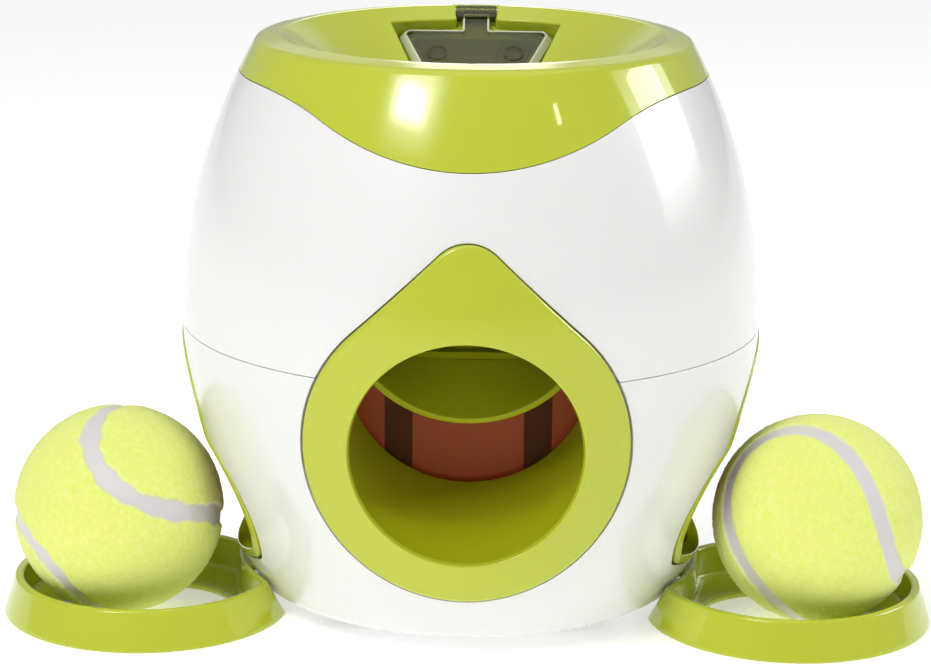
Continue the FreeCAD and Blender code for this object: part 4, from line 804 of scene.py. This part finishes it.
def band_outline(u, bottom_v, top_v, side_count, bottom_notch=None, top_notch=None):
    """The outline of a band that goes once round the axis. Its edges are level or follow u."""
    bottom, top = (stacked(u, np.broadcast_to(v, u.shape)) for v in (bottom_v, top_v))
    bottom, top = notched(bottom, bottom_notch), notched(top[::-1], top_notch)
    rise = np.linspace(0, 1, side_count)[1:-1] * (top[0][1] - bottom[-1][1]) + bottom[-1][1]
    right = stacked(np.full(len(rise), u[-1]), rise)
    left = stacked(np.full(len(rise), u[0]), rise[::-1])
    return np.vstack([bottom, right, top, left])


def make_lower_housing():
    top_z = SEAM_Z - GAP / 2 - EDGE
    notch = housing_front(drop_lower(TRIM_GAP + EDGE, top_z))
    outline = band_outline(RING_U, 0.0, housing_v(top_z), 30, top_notch=notch)
    door = door_outline(DOOR_TRIM + GAP + EDGE)
    skin = filled(on_housing, outline, [housing_side(door, 1), housing_side(door, -1)])
    piece("white_lower_shell", plate(skin, WALL, EDGE), WHITE, "machine",
          ["lower_housing"])


def make_upper_housing():
    bottom_z = SEAM_Z + GAP / 2 + EDGE
    notch = housing_front(drop_upper(TRIM_GAP + EDGE, bottom_z))[::-1]
    top_z = wave_heights(RING_U / R_WIDE, GAP + EDGE)
    outline = band_outline(RING_U, housing_v(bottom_z), housing_v(top_z), 30, bottom_notch=notch)
    shell = plate(filled(on_housing, outline), WALL, EDGE)
    inset = WALL + GAP
    collar = Profile(
        line(side_point(COLLAR_LOW, 2 * WALL), side_point(COLLAR_LOW, WALL)),
        *[line(side_point(z, inset), side_point(z + 1, inset))
          for z in range(COLLAR_SIDE_LOW, COLLAR_SIDE_TOP)],
        line((side_point(COLLAR_SIDE_TOP + 1, inset)[0], COLLAR_TOP), (COLLAR_R, COLLAR_TOP)),
    )
    rows = np.linspace(0, collar.length, 30)
    lining = meshed(turned(collar, R_WIDE), RING_U[:-1], rows, closed=True)
    piece("white_upper_shell", shell, WHITE, "machine", ["upper_housing"])
    piece("white_inner_collar", plate(lining, COLLAR_WALL, 0.2), WHITE, "machine")


# ---------------- green bowl
def bowl_profile():
    """The bowl's section: skirt, gentle lip, crisp crest, cone and throat."""
    def round_end(radius, slope, side):
        turn = math.radians(slope)
        return CREST_R + side * radius * math.sin(turn), CREST_Z - radius + radius * math.cos(turn)
    fall, easy_fall, lip_fall = (math.tan(math.radians(slope))
                                 for slope in (BOWL_SLOPE, EASY_SLOPE, LIP_SLOPE))
    cone_r, cone_z = round_end(CREST_ROUND, BOWL_SLOPE, -1)
    easy_r, easy_z = round_end(FINE_CREST, EASY_SLOPE, -1)
    land_r, land_z = round_end(FINE_CREST, LIP_SLOPE, 1)
    flare_z = cone_z - (cone_r - FLARE_R) * fall
    meet_r = (easy_z - easy_r * easy_fall - cone_z + cone_r * fall) / (fall - easy_fall)
    meet_z = cone_z - (cone_r - meet_r) * fall
    bend_z = CREST_Z
    for _ in range(SETTLE):
        bend_z = land_z - (side_point(bend_z)[0] - land_r) * lip_fall
    return Profile(
        arc((R_WIDE - UPPER_ARC, SEAM_Z), UPPER_ARC, arc_angle(WAVE_LOW - 1, UPPER_ARC),
            arc_angle(bend_z - 2, UPPER_ARC), FINE),
        rounded([side_point(bend_z - 2), side_point(bend_z), (land_r, land_z)],
                [0, LIP_BEND, 0], False, FINE, FINE),
        arc((CREST_R, CREST_Z - FINE_CREST), FINE_CREST, 90 - LIP_SLOPE, 90 + EASY_SLOPE, FINE),
        rounded([(easy_r, easy_z), (meet_r, meet_z), (THROAT_R + FLARE_OUT, flare_z - FLARE_DROP),
                 (THROAT_R, THROAT_LOW)], [0, EASY_BEND, THROAT_ROUND, 0], False, FINE, FINE),
    )


BOWL = bowl_profile()
BOWL_UNIT = CREST_R
on_bowl = turned(BOWL, BOWL_UNIT)
SKIRT = BOWL.points[:, 1] < WAVE_HIGH + 3
SKIRT[np.argmax(~SKIRT):] = False
CONE = (BOWL.points[:, 0] <= CREST_R) & (BOWL.along > BOWL.along[SKIRT][-1])


def lid_point(loop, rise):
    """Points of the lid's plane, X across and V up the slope from the hinge, in space."""
    slope = math.radians(BOWL_SLOPE)
    x, v = loop[:, 0], loop[:, 1]
    return stacked(x, HINGE_Y + v * math.cos(slope) - rise * math.sin(slope),
                   HINGE_Z + v * math.sin(slope) + rise * math.cos(slope))


def lid_sheet(outline, rise, wall, roll, back_roll=0.2, holes=(), spacing=2.5):
    """A closed plate at a height over the lid's plane."""
    def place(u, v):
        return lid_point(stacked(u, v), rise)
    return plate(filled(place, outline, holes, spacing), wall, roll, back_roll)


def recess_outline(grow=0.0, slots=True):
    """The lid's recess and the slot for its neck and head, in the lid's plane, anticlockwise."""
    slope = math.radians(BOWL_SLOPE)

    def far_edge(start, end, count):
        x = np.linspace(start, end, count)
        far_v = (np.sqrt(RECESS_RING ** 2 - x ** 2) - HINGE_Y) * math.cos(slope)
        return stacked(x, far_v - RECESS_SINK * math.sin(slope) + grow)
    share = np.linspace(-1, 1, 40)
    near = stacked(share * (RECESS_NARROW + grow),
                   RECESS_LOW - grow - RECESS_DIP * share ** 2)
    wide, neck, head = RECESS_WIDE + grow, NECK_SLOT + grow, HEAD_SLOT + grow
    if slots:
        right = np.vstack([far_edge(wide, neck, 30), [(neck, HEAD_SLOT_LOW), (head, HEAD_SLOT_LOW),
                                                      (head, HEAD_SLOT_TOP + grow)]])
        far = np.vstack([right, (right * (-1, 1))[::-1]])
    else:
        far = far_edge(wide, -wide, 60)
    return softened(np.vstack([near, far]), RECESS_SOFT, 0.3)


def bowl_rise(loop):
    """How far the bowl's own surface is above points of the lid's plane, square to it."""
    radius, height = BOWL.points[CONE].T
    rise = np.full(len(loop), 3.0)
    for _ in range(SETTLE):
        spots = lid_point(loop, rise)
        surface = np.interp(-np.hypot(spots[:, 0], spots[:, 1]), -radius, height)
        rise = rise - (spots[:, 2] - surface) / 1.25
    return rise


def bowl_spot(loop):
    """Points of the lid's plane, carried square to it onto the bowl's own surface."""
    spots = lid_point(loop, bowl_rise(loop))
    u = BOWL_UNIT * np.arctan2(spots[:, 0], -spots[:, 1]) % (2 * math.pi * BOWL_UNIT)
    v = np.interp(-np.hypot(spots[:, 0], spots[:, 1]), -BOWL.points[CONE, 0], BOWL.along[CONE])
    return stacked(u, v)


def spread(loop, reach):
    """A closed anticlockwise loop with each point moved outward."""
    onward = np.roll(loop, -1, axis=0) - np.roll(loop, 1, axis=0)
    out = stacked(onward[:, 1], -onward[:, 0]) / np.linalg.norm(onward, axis=1)[:, None]
    return loop + out * np.reshape(reach, (-1, 1))


def tube(rings):
    """A closed ring-shaped skin from loops that go once round its own section."""
    skin = banded(list(rings) + [rings[0]]).welded(1e-4)
    a, b, c = (skin.points[[face[corner] for face in skin.faces]] for corner in range(3))
    if np.einsum("ij,ij->", a, np.cross(b, c)) < 0:
        skin.faces = [face[::-1] for face in skin.faces]
    skin.normals = weighed(skin.points, skin.faces)
    return skin


def make_bowl():
    """The bowl, rim and skirt in one moulding, with the lid's recess cut out."""
    u = np.linspace(0, 2 * math.pi * BOWL_UNIT, TURN_POINTS + 1)
    low = np.interp(wave_heights(u / BOWL_UNIT) + EDGE, BOWL.points[SKIRT, 1], BOWL.along[SKIRT])
    outline = band_outline(u, low, BOWL.length - 0.3, 60)
    skin = filled(on_bowl, outline, [bowl_spot(recess_outline(RECESS_ROLL))], spacing=1.6)
    green("green_bowl", plate(skin, WALL, EDGE, hole_roll=RECESS_ROLL), GREEN, "top_bowl")


# ---------------- lid seat and lid
def make_lid_seat():
    """The ledge under the lid, its walls down to the hopper and the slot of the hinge."""
    inner = recess_outline(RECESS_PLAY)
    outer = spread(inner, RECESS_WALL)
    top, low = bowl_rise(inner) - SEAT_DROP, LEDGE_RISE - LEDGE_LAP
    section = ((inner, top), (inner, low), (outer, low), (outer, top))
    green("recess_wall", tube([lid_point(*corner) for corner in section]), GREEN)
    wide, narrow = LID_WIDE - MOUTH_SIDE, LID_NARROW - MOUTH_SIDE
    high, near = LID_TOP - MOUTH_TOP, LID_LOW + MOUTH_LOW
    mouth = rounded([(-narrow, near), (narrow, near), (wide, high), (-wide, high)], MOUTH_ROUND,
                    spacing=0.8)
    ledge = recess_outline(LEDGE_REACH, slots=False)
    green("lid_ledge", lid_sheet(ledge, LEDGE_RISE, LEDGE_WALL, 0.4, holes=[mouth]), GREEN)
    floor = rounded(box_corners(HINGE_FLOOR_HALF, HINGE_FLOOR_LOW, HINGE_FLOOR_TOP), 0.8)
    green("hinge_floor", lid_sheet(floor, HINGE_FLOOR_RISE, HINGE_FLOOR_WALL, 0.3), GREEN)


def lid_body(shrink):
    """The lid's plate and its neck, in the lid's plane, anticlockwise."""
    wide, narrow, neck = LID_WIDE - shrink, LID_NARROW - shrink, NECK_HALF - shrink
    top, low = LID_TOP - shrink, LID_LOW + shrink
    return rounded([
        (-narrow, low), (narrow, low), (wide, top), (neck, top),
        (neck, NECK_TOP), (-neck, NECK_TOP), (-neck, top), (-wide, top),
    ], LID_CORNERS, spacing=0.8)


def make_lid():
    """The lid's smoked plate, ring bosses and head, and the clear edge that runs all round, painted
    pale as its highlight.
    """
    made = [lid_sheet(lid_body(LID_INSET), LID_RISE, LID_WALL, 0.3)]
    for side in (-1, 1):
        outer, hole = (arc((side * BOSS_X, BOSS_V), radius, 0, 360, 0.4)[:-1]
                       for radius in (BOSS_OUT, BOSS_IN))
        made.append(lid_sheet(outer, BOSS_RISE, BOSS_WALL, 0.2, 0.1, [hole], 1))
    head = rounded(box_corners(HEAD_HALF, HEAD_LOW, HEAD_TOP), 0.4, spacing=0.8)
    made.append(lid_sheet(head, HEAD_RISE, HEAD_WALL, 0.5, 0.3, spacing=1.5))
    piece("smoked_lid", merged(*made), SMOKED, "lid", ["treat_lid"])
    loop = evened(lid_body(0.0), 0.4)
    sideways = np.abs(spread(loop, 1.0) - loop)[:, 0] * (loop[:, 1] < LID_TOP - 1.0)
    rings = [lid_point(spread(loop, out + more * sideways), rise) for out, rise, more in LID_RIM]
    piece("clear_lid_edge_painted_highlight", tube(rings), LID_EDGE_PAINTED_HIGHLIGHT, "lid")


# ---------------- trims
def make_front_trim():
    """The drop-shaped trim round the treat opening."""
    def place(x, z):
        return stacked(x, -np.sqrt(barrel_radius(z, -PROUD) ** 2 - x ** 2), z)
    hole = arc((0, HOLE_Z), HOLE_R + TRIM_LIP, 0, 360)[:-1]
    skin = filled(place, evened(drop_outline(-TRIM_EDGE), 0.8), [hole], spacing=2.0)
    trim = plate(skin, TRIM_DEEP, TRIM_EDGE, 0.3, 8, TRIM_LIP)
    green("green_front_trim", trim, GREEN, "front_bezel")


def make_door_trims():
    """The doorways' frames. Their faces towards the hole get a darker, duller green: painted shade.
    """
    def place(y, z):
        return stacked(np.sqrt(barrel_radius(z, -DOOR_PROUD) ** 2 - y ** 2), y, z)

    def faces_hole(centre, normal):
        outward = centre[:2] / np.linalg.norm(centre[:2])
        inward = normal[1] * centre[1] + normal[2] * (centre[2] - DOOR_HEAD_Z) < 0
        return outward @ normal[:2] < REVEAL_TURN and inward
    outer, hole = door_outline(DOOR_TRIM - DOOR_EDGE), door_outline(DOOR_EDGE)
    right = plate(filled(place, outer, [hole], 1.2), DOOR_PROUD + DOOR_DEEP, DOOR_EDGE)
    for side, shape in both_sides(right):
        piece("green_door_trim_" + side, shape, GREEN, "machine",
              ["exit_bezel_" + side], DARK_GREEN_PAINTED_SHADOW, faces_hole)


# ---------------- cup and spout
def make_cup():
    """The sloping trough behind the treat opening, open above."""
    across, along = 50, 50

    def place(u, v):
        t = v / along
        radius = HOLE_R + CUP_PLAY + (CUP_BACK_R - HOLE_R - CUP_PLAY) * t
        centre = HOLE_Z + (CUP_BACK_Z - HOLE_Z) * t
        turn = u / across * np.arccos(np.clip((centre - CUP_TOP) / radius, -1, 1))
        x, z = radius * np.sin(turn), centre - radius * np.cos(turn)
        front = -np.sqrt(np.maximum(barrel_radius(z, CUP_INSET) ** 2 - x ** 2, 1))
        return stacked(x, front + (CUP_BACK_Y - front) * t, z)
    skin = meshed(place, np.linspace(-across, across, 90), np.linspace(0, along, 30))
    green("green_cup", plate(skin, CUP_WALL, 0.5), INNER_GREEN_PAINTED_SHADOW, "treat_cup")


def make_spout():
    """The scoop that hands the treats down into the cup."""
    along = 40
    back_r = (SPOUT_HALF ** 2 + SPOUT_BACK_BOW ** 2) / (2 * SPOUT_BACK_BOW)

    def place(u, v):
        t = v / along
        x = np.clip(u, -SPOUT_HALF, SPOUT_HALF)
        lip, back = (radius - np.sqrt(radius ** 2 - x ** 2) for radius in (SPOUT_LIP_R, back_r))
        rise = SPOUT_LIP_Z + (SPOUT_BACK_Z - SPOUT_LIP_Z) * t
        return stacked(u, SPOUT_LIP_Y + (SPOUT_BACK_Y - SPOUT_LIP_Y) * t,
                       rise + lip * (1 - t) + back * t)
    skin = meshed(place, np.linspace(-SPOUT_HALF, SPOUT_HALF, 60), np.linspace(0, along, 30))
    green("green_spout", plate(skin, CUP_WALL, 0.7), INNER_GREEN_PAINTED_SHADOW, "treat_spout")


def make_slot_shades():
    """Dark sheets in the slots of the guide's front wall: painted shade where the slots are open.
    """
    def place(x, z):
        return stacked(x, np.full(np.shape(x), SLOT_SHADE_Y), z)
    corners = [(SLOT_NEAR, SLOT_LOW), (SLOT_FAR, SLOT_LOW),
               (SLOT_FAR, SLOT_TOP), (SLOT_NEAR, SLOT_TOP)]
    right = plate(filled(place, rounded(corners, 0.3)), SHADE_WALL, 0.2, 0.1)
    for side, shape in both_sides(right):
        piece("slot_painted_shade_" + side, shape, SLOT_PAINTED_SHADE, "machine")


# ---------------- trays
def tray_ring(radius, hug, z):
    """One level of the right tray: a circle cut by the circle that the housing's gap follows."""
    middle = np.array([TRAY_X, TRAY_Y])
    apart = np.linalg.norm(middle)
    reach = (apart ** 2 + hug ** 2 - radius ** 2) / (2 * apart)
    half = math.sqrt(hug ** 2 - reach ** 2)
    toward = middle / apart
    side = np.array([-toward[1], toward[0]])
    first, last = toward * reach - side * half, toward * reach + side * half
    start, end = slant(middle, first), slant(middle, last) % 360
    if end < start:
        end += 360
    outer = polar(middle, radius, np.linspace(start, end, 220))
    inner = polar((0, 0), hug, np.linspace(slant((0, 0), last), slant((0, 0), first), 60))
    loop = np.vstack([outer, inner[1:-1]])
    for _ in range(3):
        loop = 0.5 * loop + 0.25 * (np.roll(loop, 1, axis=0) + np.roll(loop, -1, axis=0))
    return np.column_stack([loop, np.full(len(loop), z)])


def tray_skin():
    """The right tray: its wall with a rounded lip, its floor and the open well in the floor."""
    def near_body(z):
        return side_point(z)[0] + TRAY_GAP

    def level(z):
        return lambda u, v: stacked(u, v, np.full(np.shape(u), z))

    def round_well(out):
        return polar((WELL_X, WELL_Y), WELL_R + out, angles)
    wall_top = TRAY_HIGH - TRAY_LIP_RISE
    foot = near_body(TRAY_FOOT)
    rings = [(TRAY_R - less, foot + more, z) for less, more, z in TRAY_ROUND]
    for share in np.linspace(0, 1, 10):
        z = TRAY_FOOT + (wall_top - TRAY_FOOT) * share
        rings.append((TRAY_R + (TRAY_CREST - TRAY_R) * share, near_body(z), z))
    hug = near_body(wall_top)
    for turn in np.radians(np.linspace(0, 180, 9)[1:]):
        across = (1 - math.cos(turn)) / 2
        rings.append((TRAY_CREST - (TRAY_CREST - TRAY_INNER) * across, hug + TRAY_LIP * across,
                      wall_top + TRAY_LIP_RISE * math.sin(turn)))
    hug += TRAY_LIP
    for share in np.linspace(0, 1, 6)[1:]:
        rings.append((TRAY_INNER, hug, wall_top - (wall_top - TRAY_FLOOR - TRAY_FILLET) * share))
    for turn in np.radians([30, 60, 90]):
        out, up = TRAY_FILLET * (1 - math.cos(turn)), TRAY_FILLET * (1 - math.sin(turn))
        rings.append((TRAY_INNER - out, hug + out, TRAY_FLOOR + up))
    angles = np.linspace(0, 360, 120, endpoint=False)
    wall = banded([tray_ring(*ring) for ring in rings])
    well = banded([np.column_stack([round_well(out), np.full(len(angles), TRAY_FLOOR - down)])
                   for out, down in WELL_EDGE])
    floor_edge, under_edge = tray_ring(*rings[-1])[:, :2], tray_ring(*rings[0])[:, :2]
    floor = filled(level(TRAY_FLOOR), floor_edge, [round_well(WELL_EDGE[0][0])], spacing=3)
    under = filled(level(0.0), under_edge, [round_well(WELL_EDGE[-1][0])], spacing=4)
    under.faces = [face[::-1] for face in under.faces]
    under.normals = -under.normals
    whole = merged(wall, well, floor, under).welded(2e-3)
    whole.normals = weighed(whole.points, whole.faces)
    tab = plate(filled(level(TAB_TOP), rounded(TAB, 1.0)), TAB_WALL, 0.3)
    return merged(whole, tab)


def make_trays():
    for side, shape in both_sides(tray_skin()):
        piece("green_tray_" + side, shape, GREEN, "tray_" + side,
              ["ball_tray_" + side])


# ---------------- balls
def cube_sphere(count):
    """Evenly spread points on a unit sphere and the four-cornered faces between them."""
    ticks = np.tan(np.linspace(-math.pi / 4, math.pi / 4, count + 1))
    a, b = np.meshgrid(ticks, ticks)
    one = np.ones_like(a)
    sides = [(one, a, b), (-one, -a, b), (-a, one, b), (a, -one, b), (-b, a, one), (b, a, -one)]
    points, faces = [], []
    for number, side in enumerate(sides):
        start = number * (count + 1) ** 2
        points.append(stacked(*side).reshape(-1, 3))
        faces += [tuple(start + corner for corner in face)
                  for face in quads(count + 1, count + 1, False)]
    points = np.vstack(points)
    points /= np.linalg.norm(points, axis=1)[:, None]
    return Skin(points, points, faces).faced().welded(1e-5)


def seam_line():
    """The curve that a tennis ball's two felt halves share, on a unit sphere."""
    t = np.linspace(0, 2 * math.pi, 500, endpoint=False)
    x = SEAM_WIDE * np.cos(t) + SEAM_NARROW * np.cos(3 * t)
    y = SEAM_WIDE * np.sin(t) - SEAM_NARROW * np.sin(3 * t)
    return stacked(x, y, 2 * math.sqrt(SEAM_WIDE * SEAM_NARROW) * np.sin(2 * t))


def turn_matrix(x, y, z):
    """A turn about X, then Y, then Z, in degrees."""
    return np.array(Euler([math.radians(angle) for angle in (x, y, z)]).to_matrix())


def make_ball(side, turn, half, ragged, seed):
    """A felt ball whose seam has a half width, in millimetres, and more or less ragged edges."""
    sphere = cube_sphere(BALL_GRID)
    tree = tree_of(seam_line())
    found = [tree.find(point) for point in sphere.points]
    apart = np.array([spot[2] for spot in found]) * BALL_R
    along = np.array([spot[1] for spot in found])
    fuzz = np.random.default_rng(seed).normal(0, 1, len(sphere.points))
    wander = ragged * (0.6 * np.sin(along * 0.19) + 0.5 * np.sin(along * 0.47 + 1.0) + 0.25 * fuzz)
    share = np.clip((apart - half - wander) / FELT_BLEND, 0, 1)
    share = share * share * (3 - 2 * share)
    radius = BALL_R - SEAM_SINK + FELT_RISE * share + NAP * fuzz * share
    low, high = (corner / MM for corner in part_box("tennis_ball_" + side))
    points = sphere.points * radius[:, None] @ turn_matrix(*turn).T + np.array((low + high) / 2)
    skin = Skin(points, weighed(points, sphere.faces), sphere.faces)
    made = piece("felt_ball_" + side, skin, FELT, "ball_" + side,
                 ["tennis_ball_" + side])
    seam = made.data.attributes.new("seam", "FLOAT", "POINT")
    seam.data.foreach_set("value", (1 - share).tolist())


def make_balls():
    make_ball("right", (34.4, 7.3, -146.5), 2.4, 0.15, 8)
    make_ball("left", (-75.8, 5.8, 153.5), 2.5, 0.6, 6)


# ---------------- CAD nodes that stay
# The treat slide's darker green is painted shade.
KEPT = {
    # The drop tube's darker inside green is painted shade.
    "treat_slide": DARK_GREEN_PAINTED_SHADOW, "drop_tube": INNER_GREEN_PAINTED_SHADOW, "treat_wheel": ORANGE, "wheel_shaft": STEEL,
    "shaft_bushes": DARK, "treat_hopper": WHITE, "ball_runway": ORANGE, "ball_guide": ORANGE,
    "diverter_flap": DARK, "diverter_pin": STEEL, "lid_pin": STEEL, "base_plate": WHITE,
    "rubber_feet": RUBBER, "base_screws": STEEL, "housing_screws": STEEL, "bowl_screws": STEEL,
    "hopper_screws": STEEL,
}


def finish_kept_nodes():
    for node, material in KEPT.items():
        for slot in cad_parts[node].material_slots:
            slot.material = material


# ---------------- floor, light and camera
# Each light's name, place, aim, width and height, power, faded shares and what it shows in: all,
# gloss only or matt only.
LIGHTS = (
    ("overhead", (0, -0.1, 2.2), (0, 0, 0), (3.4, 3.4), 30.0, (0.38, 0.38)),
    ("key", (-0.60, -0.92, 1.04), (-0.02, -0.05, 0.15), (0.50, 0.30), 9.0, (0.38, 0.38)),
    ("high_key", (-0.40, -0.66, 1.20), (0.0, -0.06, 0.06), (0.34, 0.34), 9.0, (0.38, 0.38), "matt"),
    ("fill_right", (1.30, 0.22, 0.74), (0.06, 0.0, 0.14), (0.46, 0.34), 3.0),
    ("glint_left", (-0.559, -0.903, 1.097), (-0.017, -0.069, 0.17), (0.76, 0.78), 15.5,
     (0.38, 0.46), "gloss"),
    ("glint_right", (1.30, 0.22, 0.68), (0.05, -0.05, 0.165), (0.80, 1.00), 10.5,
     (0.05, 0.42), "gloss"),
    ("glint_strip", (0.774, -0.794, 0.94), (0.024, -0.069, 0.165), (0.045, 0.10), 0.16,
     None, "gloss"),
    ("glint_back", (0.0, 1.7, 1.05), (0.0, 0.0, 0.17), (0.36, 0.5), 1.6, (0.2, 0.2), "gloss"),
    ("glint_wide", (0.0, 1.9, 0.95), (0.0, 0.0, 0.17), (2.0, 0.7), 1.4, (0.3, 0.3), "gloss"),
)
AMBIENT, FLOOR_GLOW, FLOOR_REACH = 0.42, 0.35, 6.0
CAMERA_PLACE = (0.010851, -0.932837, 0.319977)
CAMERA_TURN = (75.7194, -0.6022, 0.9210)
CAMERA_LENS, CAMERA_SENSOR = 118.35, 36.0


def emitter(name, place, aim, size, power, fade=None, shows="all"):
    """A rectangular studio light, which may fade over shares of its width and height."""
    data = bpy.data.lights.new(name, "AREA")
    data.shape = "RECTANGLE"
    data.size, data.size_y = size
    data.energy = power
    if fade:
        fade_out(data, fade)
    made = placed(name, data)
    made.location = place
    made.rotation_euler = (Vector(aim) - Vector(place)).to_track_quat("-Z", "Y").to_euler()
    made.visible_diffuse = made.visible_transmission = shows != "gloss"
    made.visible_glossy = shows != "matt"


def fade_out(light, reach):
    """Makes a light dark at its sides, and brighter over a share of its width and height."""
    graph = Graph(light, "Emission")
    split = graph.node("ShaderNodeSeparateXYZ")
    graph.link(graph.node("ShaderNodeNewGeometry").outputs["Parametric"], split.inputs[0])
    both = graph.node("ShaderNodeMath", operation="MULTIPLY")
    for index, share in enumerate(reach):
        away = graph.node("ShaderNodeMath", operation="PINGPONG")
        away.inputs[1].default_value = 0.5
        graph.link(split.outputs[index], away.inputs[0])
        rise = graph.node("ShaderNodeMapRange", interpolation_type="SMOOTHSTEP", From_Max=share)
        graph.link(away.outputs[0], rise.inputs["Value"])
        graph.link(rise.outputs["Result"], both.inputs[index])
    graph.feed(both.outputs[0], "Strength")


def make_stage():
    """Pale floor, white surroundings and soft lights."""
    scene = bpy.context.scene
    scene.view_settings.view_transform = "Standard"
    world = bpy.data.worlds.new("studio")
    world.use_nodes = True
    background = world.node_tree.nodes["Background"].inputs
    background["Color"].default_value = (1, 1, 1, 1)
    background["Strength"].default_value = AMBIENT
    scene.world = world
    corners = [(x * FLOOR_REACH, y * FLOOR_REACH, 0)
               for x, y in ((-1, -1), (1, -1), (1, 1), (-1, 1))]
    mesh = bpy.data.meshes.new("floor")
    mesh.from_pydata(corners, [], [(0, 1, 2, 3)])
    graph = Graph(bpy.data.materials.new("pale_floor"))
    graph.paint(graph.noise(9.0), (0.96, 0.96, 0.96), (0.955, 0.955, 0.955))
    graph.set(Roughness=0.9, Specular_IOR_Level=0.1, Emission_Color=(1, 1, 1, 1),
              Emission_Strength=FLOOR_GLOW)
    mesh.materials.append(graph.owner)
    floor = placed("floor", mesh)
    for light in LIGHTS:
        emitter(*light)


def make_camera():
    data = bpy.data.cameras.new("camera")
    data.sensor_width = CAMERA_SENSOR
    data.lens = CAMERA_LENS
    made = placed("camera", data)
    made.location = CAMERA_PLACE
    made.rotation_euler = [math.radians(angle) for angle in CAMERA_TURN]
    bpy.context.scene.camera = made


# ---------------- the whole
make_camera()
make_stage()
make_lower_housing()
make_upper_housing()
make_bowl()
make_lid_seat()
make_lid()
make_front_trim()
make_door_trims()
make_cup()
make_spout()
make_slot_shades()
make_trays()
make_balls()
finish_kept_nodes()
